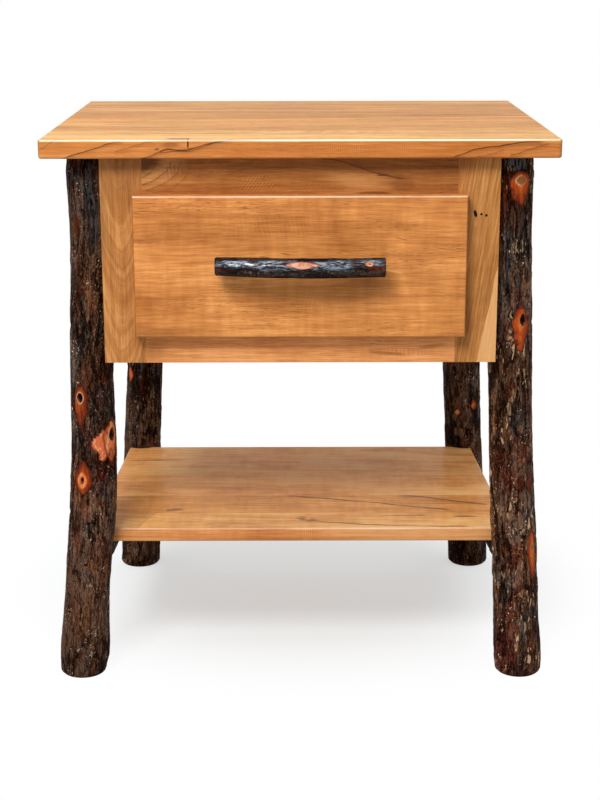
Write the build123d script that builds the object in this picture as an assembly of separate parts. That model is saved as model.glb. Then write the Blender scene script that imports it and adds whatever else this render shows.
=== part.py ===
from build123d import *
import os
from math import radians, tan

# Rustic hickory side table with one drawer and a lower shelf.  Millimetres.
# +X is the table's right as seen from the front, -Y is the front, +Z is up, the floor is z = 0.

# ---- Overall and top ---------------------------------------------------------------------------
TABLE_HEIGHT = 692.0
TOP_THICKNESS = 22.0
TOP_BOARD_WIDTHS = [104.0, 116.0, 129.0]  # from the front; one more board takes the rest
TOP_OVERHANG_SIDE = 68.0  # past the case's side
TOP_OVERHANG_FRONT = 22.0  # past the face frame
TOP_OVERHANG_REAR = 30.0  # past the rear legs' backs
TOP_CORNER_RADIUS = 5.0
BOARD_EASE = 2.4  # rounding of the exposed board edges

# ---- Case --------------------------------------------------------------------------------------
CASE_WIDTH = 474.0
CASE_DEPTH = 408.0  # face frame front to back board
CASE_HEIGHT = 249.5
SIDE_THICKNESS = 19.0
BACK_THICKNESS = 19.0
BACK_RABBET = 5.0  # how far the back board is let into each side
FRAME_THICKNESS = 19.0
STILE_WIDTH = 50.0
TOP_RAIL_HEIGHT = 54.0
BOTTOM_RAIL_HEIGHT = 45.0
DOWEL_RADIUS = 4.0
DOWEL_LENGTH = 40.0
DOWEL_PLACE = 0.28  # of the rail's height, from either edge
CLEAT_SIZE = 19.0  # square strips that hold the top

# ---- Legs, evenly up from the floor: (outward from the case side, rearward, radius) ------------
LEG_FRONT_SETBACK = 35.0  # leg line behind the face frame's front
LEG_REAR_SETBACK = 21.0  # leg line behind the case back
LEG_REAR_RADIUS = 27.0  # nominal, for the top's overhang
LEG_FRONT_LEFT = [
    (45.2, 0.0, 29.6),
    (39.2, 1.0, 29.5),
    (31.7, 1.6, 29.2),
    (24.4, 0.8, 29.6),
    (21.5, -0.8, 27.8),
    (20.6, -1.0, 27.2),
    (17.4, 0.2, 27.3),
    (14.6, 0.8, 27.3),
    (15.0, 0.0, 27.5),
]
LEG_FRONT_RIGHT = [
    (45.2, 0.0, 29.6),
    (40.6, -1.0, 29.6),
    (35.4, -1.5, 28.6),
    (29.8, -0.8, 28.1),
    (25.4, 0.4, 27.3),
    (22.4, 1.0, 27.3),
    (19.3, 0.4, 27.2),
    (16.2, -0.4, 27.2),
    (15.2, 0.0, 27.2),
]
LEG_REAR_LEFT = [
    (7.6, 0.0, 29.2),
    (3.3, 1.2, 28.3),
    (-1.7, 1.5, 27.2),
    (-8.2, 0.6, 26.8),
    (-13.7, 0.0, 26.9),
    (-17.0, 0.3, 27.0),
    (-18.5, 0.0, 27.0),
]
LEG_REAR_RIGHT = [
    (19.5, 0.0, 29.2),
    (13.0, -1.2, 28.2),
    (6.6, -1.4, 27.5),
    (1.2, -0.2, 28.0),
    (-4.5, 0.8, 27.6),
    (-9.2, 0.4, 27.5),
    (-12.0, 0.0, 27.3),
]
FOOT_CHAMFER = 3.0

# ---- Shelf and the rungs under it --------------------------------------------------------------
SHELF_HEIGHT = 188.0  # its upper face above the floor
SHELF_THICKNESS = 18.0
SHELF_BOARD_WIDTHS = [58.0, 72.0, 112.0]  # from the front; one more board takes the rest
SHELF_HOUSING = 18.0  # shelf edge short of the leg line, front and rear
SHELF_PAST_FRONT = 1.0  # front corner outward of the front legs' mean line
SHELF_PAST_REAR = 12.5  # rear corner outward of the rear legs' mean line
RUNG_RADIUS = 14.0
RUNG_SWELL = 1.0  # thicker than that at mid length
RUNG_GAP = 0.3  # below the shelf
RUNG_INSET_FRONT = 13.0  # inward of the front leg's centre
RUNG_INSET_REAR = 0.5
RUNG_TIP_SHORT = 3.0  # tenon tip short of the leg line
TENON_RADIUS = 8.0
TENON_LENGTH = 26.0
TENON_SHOULDER = 8.0

# ---- Drawer ------------------------------------------------------------------------------------
DRAWER_OVERLAY_SIDE = 10.5
DRAWER_OVERLAY_TOP = 10.0
DRAWER_OVERLAY_BOTTOM = 9.5
DRAWER_FRONT_THICKNESS = 19.0
DRAWER_FRONT_GAP = 0.4  # drawer front clear of the face frame when shut
BOX_THICKNESS = 12.7
BOX_CLEAR_BELOW = 13.0
BOX_CLEAR_ABOVE = 12.5
BOX_CLEAR_BEHIND = 32.0
BOTTOM_THICKNESS = 6.0
BOTTOM_RAISE = 10.0
BOTTOM_GROOVE = 6.0
DOVETAIL_COUNT = 3
DOVETAIL_ANGLE = 10.0  # degrees
DOVETAIL_SHARE = 0.72  # of the pitch, at the wide end

# ---- Drawer slides -----------------------------------------------------------------------------
SLIDE_THICKNESS = 12.7
SLIDE_HEIGHT = 45.0
SLIDE_METAL = 1.2
SLIDE_PLAY = 0.3
SLIDE_LIP = 3.3
SLIDE_SHORTER = 6.0  # than the drawer box
SLIDE_SETBACK = 3.0  # behind the face frame's front
BLOCK_HEIGHT = 60.0

# ---- Pull --------------------------------------------------------------------------------------
PULL_LENGTH = 200.0
PULL_RADIUS_LEFT = 10.8
PULL_RADIUS_MIDDLE = 12.0
PULL_RADIUS_RIGHT = 11.7
PULL_STANDOFF_END = 24.0  # twig centre in front of the drawer front, at the ends
PULL_STANDOFF_MIDDLE = 33.0
PULL_ABOVE_CENTRE = 5.5  # over the middle of the drawer front
PULL_TILT = 1.6  # left end higher than the right end by this
PULL_POST_SPACING = 156.0
POST_RADIUS = 6.0
POST_SINK = 4.0  # into the twig

# ---- Fasteners ---------------------------------------------------------------------------------
LAG_RADIUS = 4.0
LAG_LENGTH = 46.0
LAG_HEAD_RADIUS = 7.5  # hexagon, over its corners
LAG_HEAD_HEIGHT = 5.3
WASHER_RADIUS = 9.0
WASHER_THICKNESS = 1.6
BOLT_LOW = 30.0  # above the case bottom
BOLT_HIGH = 42.0  # below the case top
REAR_BOLT_SEAT = 14.0  # head's seat behind the rear leg line
REAR_BOLT_EMBED = 35.0  # barrel nut's centre in front of the case back
REAR_BOLT_BORE = 8.5  # radius of the counterbore
REAR_BOLT_TAIL = 8.0  # past the barrel nut's centre
NUT_RADIUS = 5.0
NUT_LENGTH = 13.0
SCREW_RADIUS = 2.2
SCREW_HEAD_RADIUS = 4.4
SCREW_HEAD_HEIGHT = 2.4
TOP_SCREW_BITE = 13.0
TOP_SCREW_COUNT = 3
SHELF_SCREW_BITE = 12.0
SHELF_SCREW_SINK = 3.0
SHELF_SCREW_PLACE = 0.27  # of the rung's length, from either end
SLIDE_SCREW_BITE = 12.0  # into the packing block
SLIDE_SCREW_SHARE = 0.8  # of the drawer box side that a screw reaches through
SLIDE_SCREW_HEAD = 3.4
SLIDE_SCREW_INSET = 30.0
SLIDE_SCREW_COUNT = 3
FRONT_SCREW_BITE = 14.0
FRONT_SCREW_INSET = 41.6  # screw line inside the box side
FRONT_SCREW_ABOVE_BOTTOM = 14.5  # lower screws over the bottom board
FRONT_SCREW_BELOW_TOP = 30.5  # upper screws under the box top
PULL_SCREW_BITE = 8.0
PULL_STATIONS = 7  # rings that shape the twig

# ---- Places worked out from the sizes above ----------------------------------------------------
top_under = TABLE_HEIGHT - TOP_THICKNESS
case_bottom = top_under - CASE_HEIGHT
case_half = CASE_WIDTH / 2
case_front = -CASE_DEPTH / 2
case_back = CASE_DEPTH / 2
frame_back = case_front + FRAME_THICKNESS
side_inner = case_half - SIDE_THICKNESS
back_inner = case_back - BACK_THICKNESS
leg_front_line = case_front + LEG_FRONT_SETBACK
leg_rear_line = case_back + LEG_REAR_SETBACK
top_front = case_front - TOP_OVERHANG_FRONT
top_rear = leg_rear_line + LEG_REAR_RADIUS + TOP_OVERHANG_REAR
top_half = case_half + TOP_OVERHANG_SIDE

opening_half = case_half - STILE_WIDTH
opening_bottom = case_bottom + BOTTOM_RAIL_HEIGHT
opening_top = top_under - TOP_RAIL_HEIGHT

shelf_under = SHELF_HEIGHT - SHELF_THICKNESS
shelf_front = leg_front_line + SHELF_HOUSING
shelf_rear = leg_rear_line - SHELF_HOUSING

panel_back = case_front - DRAWER_FRONT_GAP
panel_face = panel_back - DRAWER_FRONT_THICKNESS
panel_low = opening_bottom - DRAWER_OVERLAY_BOTTOM
panel_high = opening_top + DRAWER_OVERLAY_TOP
panel_half = opening_half + DRAWER_OVERLAY_SIDE
box_half = opening_half - SLIDE_THICKNESS
box_inner = box_half - BOX_THICKNESS
box_bottom = opening_bottom + BOX_CLEAR_BELOW
box_top = opening_top - BOX_CLEAR_ABOVE
box_middle = (box_bottom + box_top) / 2
box_front = panel_back
box_back = back_inner - BOX_CLEAR_BEHIND
slide_front = case_front + SLIDE_SETBACK
slide_length = box_back - box_front - SLIDE_SHORTER
slide_back = slide_front + slide_length

pull_height = (panel_low + panel_high) / 2 + PULL_ABOVE_CENTRE


# ---- Shapes that repeat ------------------------------------------------------------------------
def block(low, high):
    """A box from its low corner to its high corner."""
    size = [b - a for a, b in zip(low, high)]
    middle = [(a + b) / 2 for a, b in zip(low, high)]
    return Pos(*middle) * Box(*size)


def eased(solid, edges, radius=BOARD_EASE, wall=SHELF_THICKNESS):
    """The solid with those edges rounded, never by more than a third of the wall."""
    return fillet(edges, min(radius, wall / 3))


def rod(start, end, radius):
    """A round rod between two points."""
    run = Vector(*end) - Vector(*start)
    base = Plane(origin=start, z_dir=run)
    return extrude(base * Circle(radius), run.length)


def aimed(shape, origin, direction):
    """A shape made along +Z, moved to an origin and turned to a direction."""
    return Plane(origin=origin, z_dir=direction).location * shape


def wood_screw(length, radius=SCREW_RADIUS, head=SCREW_HEAD_RADIUS, height=SCREW_HEAD_HEIGHT):
    """A screw along +Z: its head lies below z = 0 and its shank above."""
    rounding = height / 3
    outline = [(0, -height), (head - rounding, -height), (head, -height + rounding), (head, 0)]
    outline += [(radius, 0), (radius, length - 2 * radius), (0, length)]
    return revolve(Plane.XZ * make_face(Polyline(*outline, close=True)), Axis.Z)


def flush_screw(length, head=SLIDE_SCREW_HEAD, depth=SLIDE_METAL, radius=SCREW_RADIUS):
    """A countersunk screw along +Z whose head is flush at z = 0."""
    outline = [(0, 0), (head, 0), (radius, depth), (radius, length - 2 * radius), (0, length)]
    return revolve(Plane.XZ * make_face(Polyline(*outline, close=True)), Axis.Z)


def hex_bolt(length):
    """A hexagon-headed bolt along +Z with its head below z = 0."""
    head = Pos(0, 0, -LAG_HEAD_HEIGHT) * extrude(RegularPolygon(LAG_HEAD_RADIUS, 6), LAG_HEAD_HEIGHT)
    shank = extrude(Circle(LAG_RADIUS), length)
    return head + chamfer(shank.edges().sort_by(Axis.Z)[-1], LAG_RADIUS / 2)


def cut(solid, tools):
    """The solid less each of the tools."""
    for tool in tools:
        solid = solid - tool
    return solid


def spaced(first, last, count):
    """Evenly spaced places from first to last."""
    return [first + (last - first) * i / (count - 1) for i in range(count)]


# ---- Legs --------------------------------------------------------------------------------------
LEG_SHAPES = {
    "leg_front_left": (-1, leg_front_line, LEG_FRONT_LEFT),
    "leg_front_right": (1, leg_front_line, LEG_FRONT_RIGHT),
    "leg_rear_left": (-1, leg_rear_line, LEG_REAR_LEFT),
    "leg_rear_right": (1, leg_rear_line, LEG_REAR_RIGHT),
}


def leg_centre(name, height):
    """The middle of a leg at a height, straight between its stations."""
    side, line, stations = LEG_SHAPES[name]
    spans = len(stations) - 1
    place = height / top_under * spans
    index = min(int(place), spans - 1)
    low, high = stations[index], stations[index + 1]
    outward, rearward = (low[i] + (place - index) * (high[i] - low[i]) for i in (0, 1))
    return side * (case_half + outward), line + rearward


def leg_pole(name):
    """The natural pole of one leg, from the floor to the underside of the top.

    Its rings start on the outward side, so that the surface's seam is clear of every cut.
    """
    side, line, stations = LEG_SHAPES[name]
    rings = []
    for height, (outward, rearward, radius) in zip(spaced(0, top_under, len(stations)), stations):
        middle = (side * (case_half + outward), line + rearward, max(height, FOOT_CHAMFER))
        rings.append(Plane(origin=middle, x_dir=(side, 0, 0)) * Circle(radius))
    outward, rearward, radius = stations[0]
    foot = Cone(radius - FOOT_CHAMFER, radius, FOOT_CHAMFER, align=(Align.CENTER, Align.CENTER, Align.MIN))
    return loft(rings) + Pos(side * (case_half + outward), line + rearward, 0) * foot


def leg_seat(name):
    """What is cut from a leg so that it sits flat on the case."""
    side = LEG_SHAPES[name][0]
    if "front" in name:
        low = (min(0, side * case_half), case_front, case_bottom)
        high = (max(0, side * case_half), 0, TABLE_HEIGHT)
        return block(low, high)
    return block((-top_half, 0, case_bottom), (top_half, case_back, TABLE_HEIGHT))


# ---- Rungs -------------------------------------------------------------------------------------
def rung_ends(side_name):
    """Tenon tip to tenon tip of one rung, under the shelf."""
    side = -1 if side_name == "left" else 1
    height = shelf_under - RUNG_GAP - RUNG_RADIUS - RUNG_SWELL
    front_x = leg_centre("leg_front_" + side_name, height)[0] - side * RUNG_INSET_FRONT
    rear_x = leg_centre("leg_rear_" + side_name, height)[0] - side * RUNG_INSET_REAR
    front = Vector(front_x, leg_front_line + RUNG_TIP_SHORT, height)
    rear = Vector(rear_x, leg_rear_line - RUNG_TIP_SHORT, height)
    return front, rear


def rung(side_name):
    """A slim pole with a round tenon at each end."""
    front, rear = rung_ends(side_name)
    length = (rear - front).length
    shoulder = TENON_LENGTH + TENON_SHOULDER
    bulge = Spline(
        (RUNG_RADIUS, shoulder),
        (RUNG_RADIUS + RUNG_SWELL, length / 2),
        (RUNG_RADIUS, length - shoulder),
    )
    start = Polyline((0, 0), (TENON_RADIUS, 0), (TENON_RADIUS, TENON_LENGTH), (RUNG_RADIUS, shoulder))
    finish = Polyline(
        (RUNG_RADIUS, length - shoulder),
        (TENON_RADIUS, length - TENON_LENGTH),
        (TENON_RADIUS, length),
        (0, length),
        (0, 0),
    )
    pole = revolve(Plane.XZ * make_face([*start.edges(), bulge.edge(), *finish.edges()]), Axis.Z)
    return aimed(pole, front, rear - front)


# ---- Shelf -------------------------------------------------------------------------------------
def shelf_halves():
    """Half the shelf's width at its front edge and at its rear edge."""
    widths = []
    for row, past in (("front", SHELF_PAST_FRONT), ("rear", SHELF_PAST_REAR)):
        left = leg_centre(f"leg_{row}_left", SHELF_HEIGHT)[0]
        right = leg_centre(f"leg_{row}_right", SHELF_HEIGHT)[0]
        widths.append((right - left) / 2 + past)
    return widths


def shelf_slab():
    """The whole shelf, wider at the front as the legs are, before it is parted into boards."""
    front_half, rear_half = shelf_halves()
    corners = [
        (-front_half, shelf_front),
        (front_half, shelf_front),
        (rear_half, shelf_rear),
        (-rear_half, shelf_rear),
    ]
    outline = Pos(0, 0, shelf_under) * make_face(Polyline(*corners, close=True))
    slab = extrude(outline, SHELF_THICKNESS)
    rims = slab.edges().group_by(Axis.Z)
    return eased(slab, rims[0] + rims[-1], wall=SHELF_THICKNESS)


def parted(slab, front, rear, widths, name):
    """A slab parted from front to rear into boards that run side to side."""
    reach = 2 * top_half
    seams = [front]
    for width in widths:
        seams.append(seams[-1] + width)
    boards = {}
    for i, (near, far) in enumerate(zip(seams, seams[1:] + [rear])):
        boards[f"{name}_{i + 1}"] = slab & block((-reach, near, 0), (reach, far, TABLE_HEIGHT))
    return boards


def shelf_screw_set():
    """Two screws up through each rung into the shelf."""
    screws = []
    for side_name in ("left", "right"):
        front, rear = rung_ends(side_name)
        under = shelf_under - RUNG_GAP - 2 * RUNG_RADIUS - 2 * RUNG_SWELL
        for share in (SHELF_SCREW_PLACE, 1 - SHELF_SCREW_PLACE):
            place = front + (rear - front) * share
            origin = (place.X, place.Y, under + SHELF_SCREW_SINK)
            length = shelf_under + SHELF_SCREW_BITE - origin[2]
            screws.append(aimed(wood_screw(length), origin, (0, 0, 1)))
    return screws


def screw_wells(screws, depth):
    """The bore below each upright screw's head that lets it be driven home."""
    wells = []
    for screw in screws:
        box = screw.bounding_box()
        middle = ((box.min.X + box.max.X) / 2, (box.min.Y + box.max.Y) / 2)
        wells.append(rod((*middle, box.min.Z - depth), (*middle, box.min.Z + depth / 2), SCREW_HEAD_RADIUS))
    return wells


# ---- Top ---------------------------------------------------------------------------------------
def top_slab():
    """The whole top, eased all round, before it is parted into boards."""
    slab = block((-top_half, top_front, top_under), (top_half, top_rear, TABLE_HEIGHT))
    slab = fillet(slab.edges().filter_by(Axis.Z), TOP_CORNER_RADIUS)
    rims = slab.edges().group_by(Axis.Z)
    return eased(slab, rims[0] + rims[-1], wall=TOP_THICKNESS)


def top_screw_set():
    """Screws up through both cleats into the top."""
    screws = []
    inset = CLEAT_SIZE
    for side in (-1, 1):
        x = side * (side_inner - CLEAT_SIZE / 2)
        for y in spaced(frame_back + 2 * inset, back_inner - 2 * inset, TOP_SCREW_COUNT):
            origin = (x, y, top_under - CLEAT_SIZE)
            screws.append(aimed(wood_screw(CLEAT_SIZE + TOP_SCREW_BITE), origin, (0, 0, 1)))
    return screws


# ---- Case --------------------------------------------------------------------------------------
def case_back_board():
    """The back board, let into a rabbet in each side."""
    half = side_inner + BACK_RABBET
    return block((-half, back_inner, case_bottom), (half, case_back, top_under))


def case_side(side):
    """One side panel, behind the face frame."""
    low_x, high_x = sorted((side * side_inner, side * case_half))
    panel = block((low_x, frame_back, case_bottom), (high_x, case_back, top_under))
    return panel - case_back_board()


def stile(side):
    """One upright of the face frame."""
    low_x, high_x = sorted((side * opening_half, side * case_half))
    return block((low_x, case_front, case_bottom), (high_x, frame_back, top_under))


def rail(low, high):
    """A cross rail of the face frame between two heights."""
    return block((-opening_half, case_front, low), (opening_half, frame_back, high))


def dowel_set():
    """Two dowels at each end of each rail."""
    dowels = []
    depth = (case_front + frame_back) / 2
    for low, high in ((case_bottom, opening_bottom), (opening_top, top_under)):
        for share in (DOWEL_PLACE, 1 - DOWEL_PLACE):
            height = low + share * (high - low)
            for side in (-1, 1):
                start = (side * opening_half - DOWEL_LENGTH / 2, depth, height)
                end = (side * opening_half + DOWEL_LENGTH / 2, depth, height)
                dowels.append(rod(start, end, DOWEL_RADIUS))
    return dowels


def cleat(side):
    """The strip inside the top of one side that the top is screwed to."""
    low_x, high_x = sorted((side * side_inner, side * (side_inner - CLEAT_SIZE)))
    return block((low_x, frame_back, top_under - CLEAT_SIZE), (high_x, back_inner, top_under))


def slide_block(side):
    """Packs one side out to the edge of the drawer opening."""
    low_x, high_x = sorted((side * opening_half, side * side_inner))
    low = (low_x, frame_back, box_middle - BLOCK_HEIGHT / 2)
    high = (high_x, back_inner, box_middle + BLOCK_HEIGHT / 2)
    return block(low, high)


# ---- Leg fasteners -----------------------------------------------------------------------------
def bolt_heights():
    """Heights of the two bolts in each leg."""
    return case_bottom + BOLT_LOW, top_under - BOLT_HIGH


def lag_set():
    """Lag bolts from inside the case into the front legs, and their washers."""
    bolts = []
    washers = []
    for side in (-1, 1):
        for height in bolt_heights():
            seat = (side * side_inner, leg_front_line, height)
            face = (side * (side_inner - WASHER_THICKNESS), leg_front_line, height)
            bolts.append(aimed(hex_bolt(LAG_LENGTH), face, (side, 0, 0)))
            washers.append(rod(face, seat, WASHER_RADIUS) - rod(face, seat, LAG_RADIUS))
    return bolts, washers


def rear_bolt_set():
    """Bolts through the rear legs into barrel nuts in the case sides, and the counterbores."""
    bolts = []
    nuts = []
    bores = []
    x = case_half - SIDE_THICKNESS / 2
    seat = leg_rear_line + REAR_BOLT_SEAT
    nut_line = case_back - REAR_BOLT_EMBED
    for side in (-1, 1):
        for height in bolt_heights():
            bolt = hex_bolt(seat - nut_line + REAR_BOLT_TAIL)
            bolt = aimed(bolt, (side * x, seat, height), (0, -1, 0))
            start = (side * (x - NUT_LENGTH / 2), nut_line, height)
            end = (side * (x + NUT_LENGTH / 2), nut_line, height)
            outside = leg_rear_line + 2 * LEG_REAR_RADIUS
            bolts.append(bolt)
            nuts.append(rod(start, end, NUT_RADIUS) - bolt)
            bores.append(rod((side * x, seat, height), (side * x, outside, height), REAR_BOLT_BORE))
    return bolts, nuts, bores


# ---- Drawer slides -----------------------------------------------------------------------------
def slide_outlines():
    """Upper halves of the cabinet, middle and drawer members' sections, nested and running clear.

    A point is (out of the packing block, up from the slide's middle).
    """
    half = SLIDE_HEIGHT / 2
    metal = SLIDE_METAL
    play = SLIDE_PLAY
    depth = SLIDE_THICKNESS - metal - play
    outer = [
        (0, half),
        (depth, half),
        (depth, half - metal - SLIDE_LIP),
        (depth - metal, half - metal - SLIDE_LIP),
        (depth - metal, half - metal),
        (metal, half - metal),
    ]
    near = metal + play
    far = depth - metal - play
    top = half - metal - play
    middle = [
        (near, top),
        (far, top),
        (far, top - metal - SLIDE_LIP),
        (far - metal, top - metal - SLIDE_LIP),
        (far - metal, top - metal),
        (near + metal, top - metal),
    ]
    foot = near + metal + play
    foot_top = top - metal - play
    leg_top = top - metal - SLIDE_LIP - play
    inner = [
        (SLIDE_THICKNESS - metal, leg_top - metal),
        (foot, leg_top - metal),
        (foot, foot_top),
        (foot + metal, foot_top),
        (foot + metal, leg_top),
        (SLIDE_THICKNESS, leg_top),
    ]
    return outer, middle, inner


def slide_member(side, points):
    """One member of a slide on one side of the drawer."""
    upper = [(side * (opening_half - u), w) for u, w in points]
    lower = [(x, -w) for x, w in reversed(upper)]
    section = make_face(Polyline(*upper, *lower, close=True))
    plane = Plane(origin=(0, slide_back, box_middle), x_dir=(1, 0, 0), z_dir=(0, -1, 0))
    return extrude(plane * section, slide_length)


def slide_screw_set(side, from_drawer):
    """The flush screws of a slide's cabinet member or of its drawer member."""
    x = side * (opening_half - SLIDE_METAL)
    direction = side
    if from_drawer:
        x = side * (opening_half - SLIDE_THICKNESS + SLIDE_METAL)
        direction = -side
    screws = []
    for y in spaced(slide_front + SLIDE_SCREW_INSET, slide_back - SLIDE_SCREW_INSET, SLIDE_SCREW_COUNT):
        length = SLIDE_METAL + SLIDE_SCREW_BITE
        if from_drawer:
            length = SLIDE_METAL + BOX_THICKNESS * SLIDE_SCREW_SHARE
        screws.append(aimed(flush_screw(length), (x, y, box_middle), (direction, 0, 0)))
    return screws


# ---- Drawer ------------------------------------------------------------------------------------
def tails(side):
    """The dovetails at both ends of one box side."""
    pitch = (box_top - box_bottom) / DOVETAIL_COUNT
    wide = pitch * DOVETAIL_SHARE / 2
    narrow = wide - BOX_THICKNESS * tan(radians(DOVETAIL_ANGLE))
    low_x = min(side * box_inner, side * box_half)
    plane = Plane(origin=(low_x, 0, 0), x_dir=(0, 1, 0), z_dir=(1, 0, 0))
    shapes = []
    for end, base in ((box_front, box_front + BOX_THICKNESS), (box_back, box_back - BOX_THICKNESS)):
        for i in range(DOVETAIL_COUNT):
            height = box_bottom + (i + 0.5) * pitch
            corners = [
                (end, height - wide),
                (end, height + wide),
                (base, height + narrow),
                (base, height - narrow),
            ]
            shapes.append(extrude(plane * make_face(Polyline(*corners, close=True)), BOX_THICKNESS))
    return shapes


def box_bottom_board():
    """The drawer bottom, reaching into a groove all round."""
    half = box_inner + BOTTOM_GROOVE
    front = box_front + BOX_THICKNESS - BOTTOM_GROOVE
    back = box_back - BOX_THICKNESS + BOTTOM_GROOVE
    low = box_bottom + BOTTOM_RAISE
    return block((-half, front, low), (half, back, low + BOTTOM_THICKNESS))


def box_side(side):
    """One box side with its tails."""
    low_x, high_x = sorted((side * box_inner, side * box_half))
    low = (low_x, box_front + BOX_THICKNESS, box_bottom)
    high = (high_x, box_back - BOX_THICKNESS, box_top)
    board = block(low, high)
    for tail in tails(side):
        board = board + tail
    return board - box_bottom_board()


def box_end(front, back):
    """The box front or back, with sockets for the tails."""
    board = block((-box_half, front, box_bottom), (box_half, back, box_top))
    return cut(board, tails(-1) + tails(1)) - box_bottom_board()


def drawer_panel():
    """The overlay drawer front with eased edges."""
    panel = block((-panel_half, panel_face, panel_low), (panel_half, panel_back, panel_high))
    rims = panel.edges().group_by(Axis.Y)
    return eased(panel, rims[0] + rims[-1], wall=DRAWER_FRONT_THICKNESS)


def front_screw_set():
    """Screws from inside the box into the drawer front."""
    screws = []
    low = box_bottom + BOTTOM_RAISE + BOTTOM_THICKNESS + FRONT_SCREW_ABOVE_BOTTOM
    high = box_top - FRONT_SCREW_BELOW_TOP
    for x in (FRONT_SCREW_INSET - box_inner, box_inner - FRONT_SCREW_INSET):
        for height in (low, high):
            place = (x, box_front + BOX_THICKNESS, height)
            screws.append(aimed(wood_screw(BOX_THICKNESS + FRONT_SCREW_BITE), place, (0, -1, 0)))
    return screws


# ---- Pull --------------------------------------------------------------------------------------
def pull_centre(share):
    """The twig's centre at a share from -1, its left end, to 1, its right end."""
    bow = PULL_STANDOFF_MIDDLE - PULL_STANDOFF_END
    standoff = PULL_STANDOFF_END + bow * (1 - share**2)
    return (share * PULL_LENGTH / 2, panel_face - standoff, pull_height - share * PULL_TILT / 2)


def pull_radius(share):
    """The twig's radius at that share."""
    end = PULL_RADIUS_LEFT if share < 0 else PULL_RADIUS_RIGHT
    return PULL_RADIUS_MIDDLE + (end - PULL_RADIUS_MIDDLE) * share**2


def pull_twig():
    """The bowed twig."""
    rings = []
    for share in spaced(-1, 1, PULL_STATIONS):
        plane = Plane(origin=pull_centre(share), x_dir=(0, 1, 0), z_dir=(1, 0, 0))
        rings.append(plane * Circle(pull_radius(share)))
    return loft(rings)


def pull_post_set():
    """Two round posts that hold the twig off the drawer front, and their screws."""
    posts = []
    screws = []
    for side in (-1, 1):
        share = side * PULL_POST_SPACING / PULL_LENGTH
        x, y, z = pull_centre(share)
        tip = y + pull_radius(share) - POST_SINK
        inside = box_front + BOX_THICKNESS
        posts.append(rod((x, panel_face, z), (x, tip, z), POST_RADIUS))
        length = inside - tip + PULL_SCREW_BITE
        screws.append(aimed(wood_screw(length), (x, inside, z), (0, -1, 0)))
    return posts, screws


# ---- Assembly ----------------------------------------------------------------------------------
def legs_and_shelf():
    """Legs, rungs, shelf boards and what fastens them."""
    nodes = {}
    slab = shelf_slab()
    rungs = {name: rung(name) for name in ("left", "right")}
    screws = shelf_screw_set()
    lags, washers = lag_set()
    rear_bolts, nuts, bores = rear_bolt_set()
    for name in LEG_SHAPES:
        side_name = name.split("_")[-1]
        fasteners = lags if "front" in name else rear_bolts + bores
        tools = [leg_seat(name), slab, rungs[side_name], *fasteners]
        nodes[name] = cut(leg_pole(name), tools)
    for side_name, pole in rungs.items():
        nodes[f"rung_{side_name}"] = cut(pole, screws + screw_wells(screws, 2 * SHELF_SCREW_SINK))
    for name, board in parted(slab, shelf_front, shelf_rear, SHELF_BOARD_WIDTHS, "shelf_board").items():
        nodes[name] = cut(board, screws)
    nodes["shelf_screws"] = screws
    nodes["front_leg_bolts"] = lags
    nodes["front_leg_washers"] = washers
    nodes["rear_leg_bolts"] = rear_bolts
    nodes["rear_leg_nuts"] = nuts
    return nodes


def case_and_top(rear_leg_tools, front_leg_tools):
    """The case, its face frame, the slide blocks and the top."""
    nodes = {}
    top_screws = top_screw_set()
    dowels = dowel_set()
    for name, board in parted(top_slab(), top_front, top_rear, TOP_BOARD_WIDTHS, "top_board").items():
        nodes[name] = cut(board, top_screws)
    for side, side_name in ((-1, "left"), (1, "right")):
        cabinet_screws = slide_screw_set(side, from_drawer=False)
        nodes[f"case_side_{side_name}"] = cut(case_side(side), front_leg_tools + rear_leg_tools)
        nodes[f"stile_{side_name}"] = cut(stile(side), dowels)
        nodes[f"cleat_{side_name}"] = cut(cleat(side), top_screws)
        nodes[f"slide_block_{side_name}"] = cut(slide_block(side), cabinet_screws)
    nodes["case_back"] = cut(case_back_board(), rear_leg_tools)
    nodes["rail_top"] = cut(rail(opening_top, top_under), dowels)
    nodes["rail_bottom"] = cut(rail(case_bottom, opening_bottom), dowels)
    nodes["frame_dowels"] = dowels
    nodes["top_screws"] = top_screws
    return nodes


def drawer_and_slides():
    """The drawer, its three-member slides and its twig pull."""
    nodes = {}
    front_screws = front_screw_set()
    posts, pull_screws = pull_post_set()
    through = front_screws + pull_screws
    outlines = slide_outlines()
    cabinet_screws = []
    drawer_screws = []
    for side, side_name in ((-1, "left"), (1, "right")):
        into_block = slide_screw_set(side, from_drawer=False)
        into_drawer = slide_screw_set(side, from_drawer=True)
        outer, middle, inner = (slide_member(side, points) for points in outlines)
        nodes[f"slide_outer_{side_name}"] = cut(outer, into_block)
        nodes[f"slide_middle_{side_name}"] = middle
        nodes[f"slide_inner_{side_name}"] = cut(inner, into_drawer)
        nodes[f"box_side_{side_name}"] = cut(box_side(side), into_drawer)
        cabinet_screws += into_block
        drawer_screws += into_drawer
    nodes["box_front"] = cut(box_end(box_front, box_front + BOX_THICKNESS), through)
    nodes["box_back"] = box_end(box_back - BOX_THICKNESS, box_back)
    nodes["box_bottom"] = box_bottom_board()
    nodes["drawer_front"] = cut(drawer_panel(), through)
    nodes["drawer_front_screws"] = front_screws
    nodes["slide_cabinet_screws"] = cabinet_screws
    nodes["slide_drawer_screws"] = drawer_screws
    nodes["pull_twig"] = cut(pull_twig(), posts + pull_screws)
    nodes["pull_posts"] = [cut(post, pull_screws) for post in posts]
    nodes["pull_screws"] = pull_screws
    return nodes


def solids_of(made):
    """The plain solids of a node that may be one shape or a list of them."""
    shapes = made if isinstance(made, list) else [made]
    return [solid for shape in shapes for solid in shape.solids()]


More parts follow.
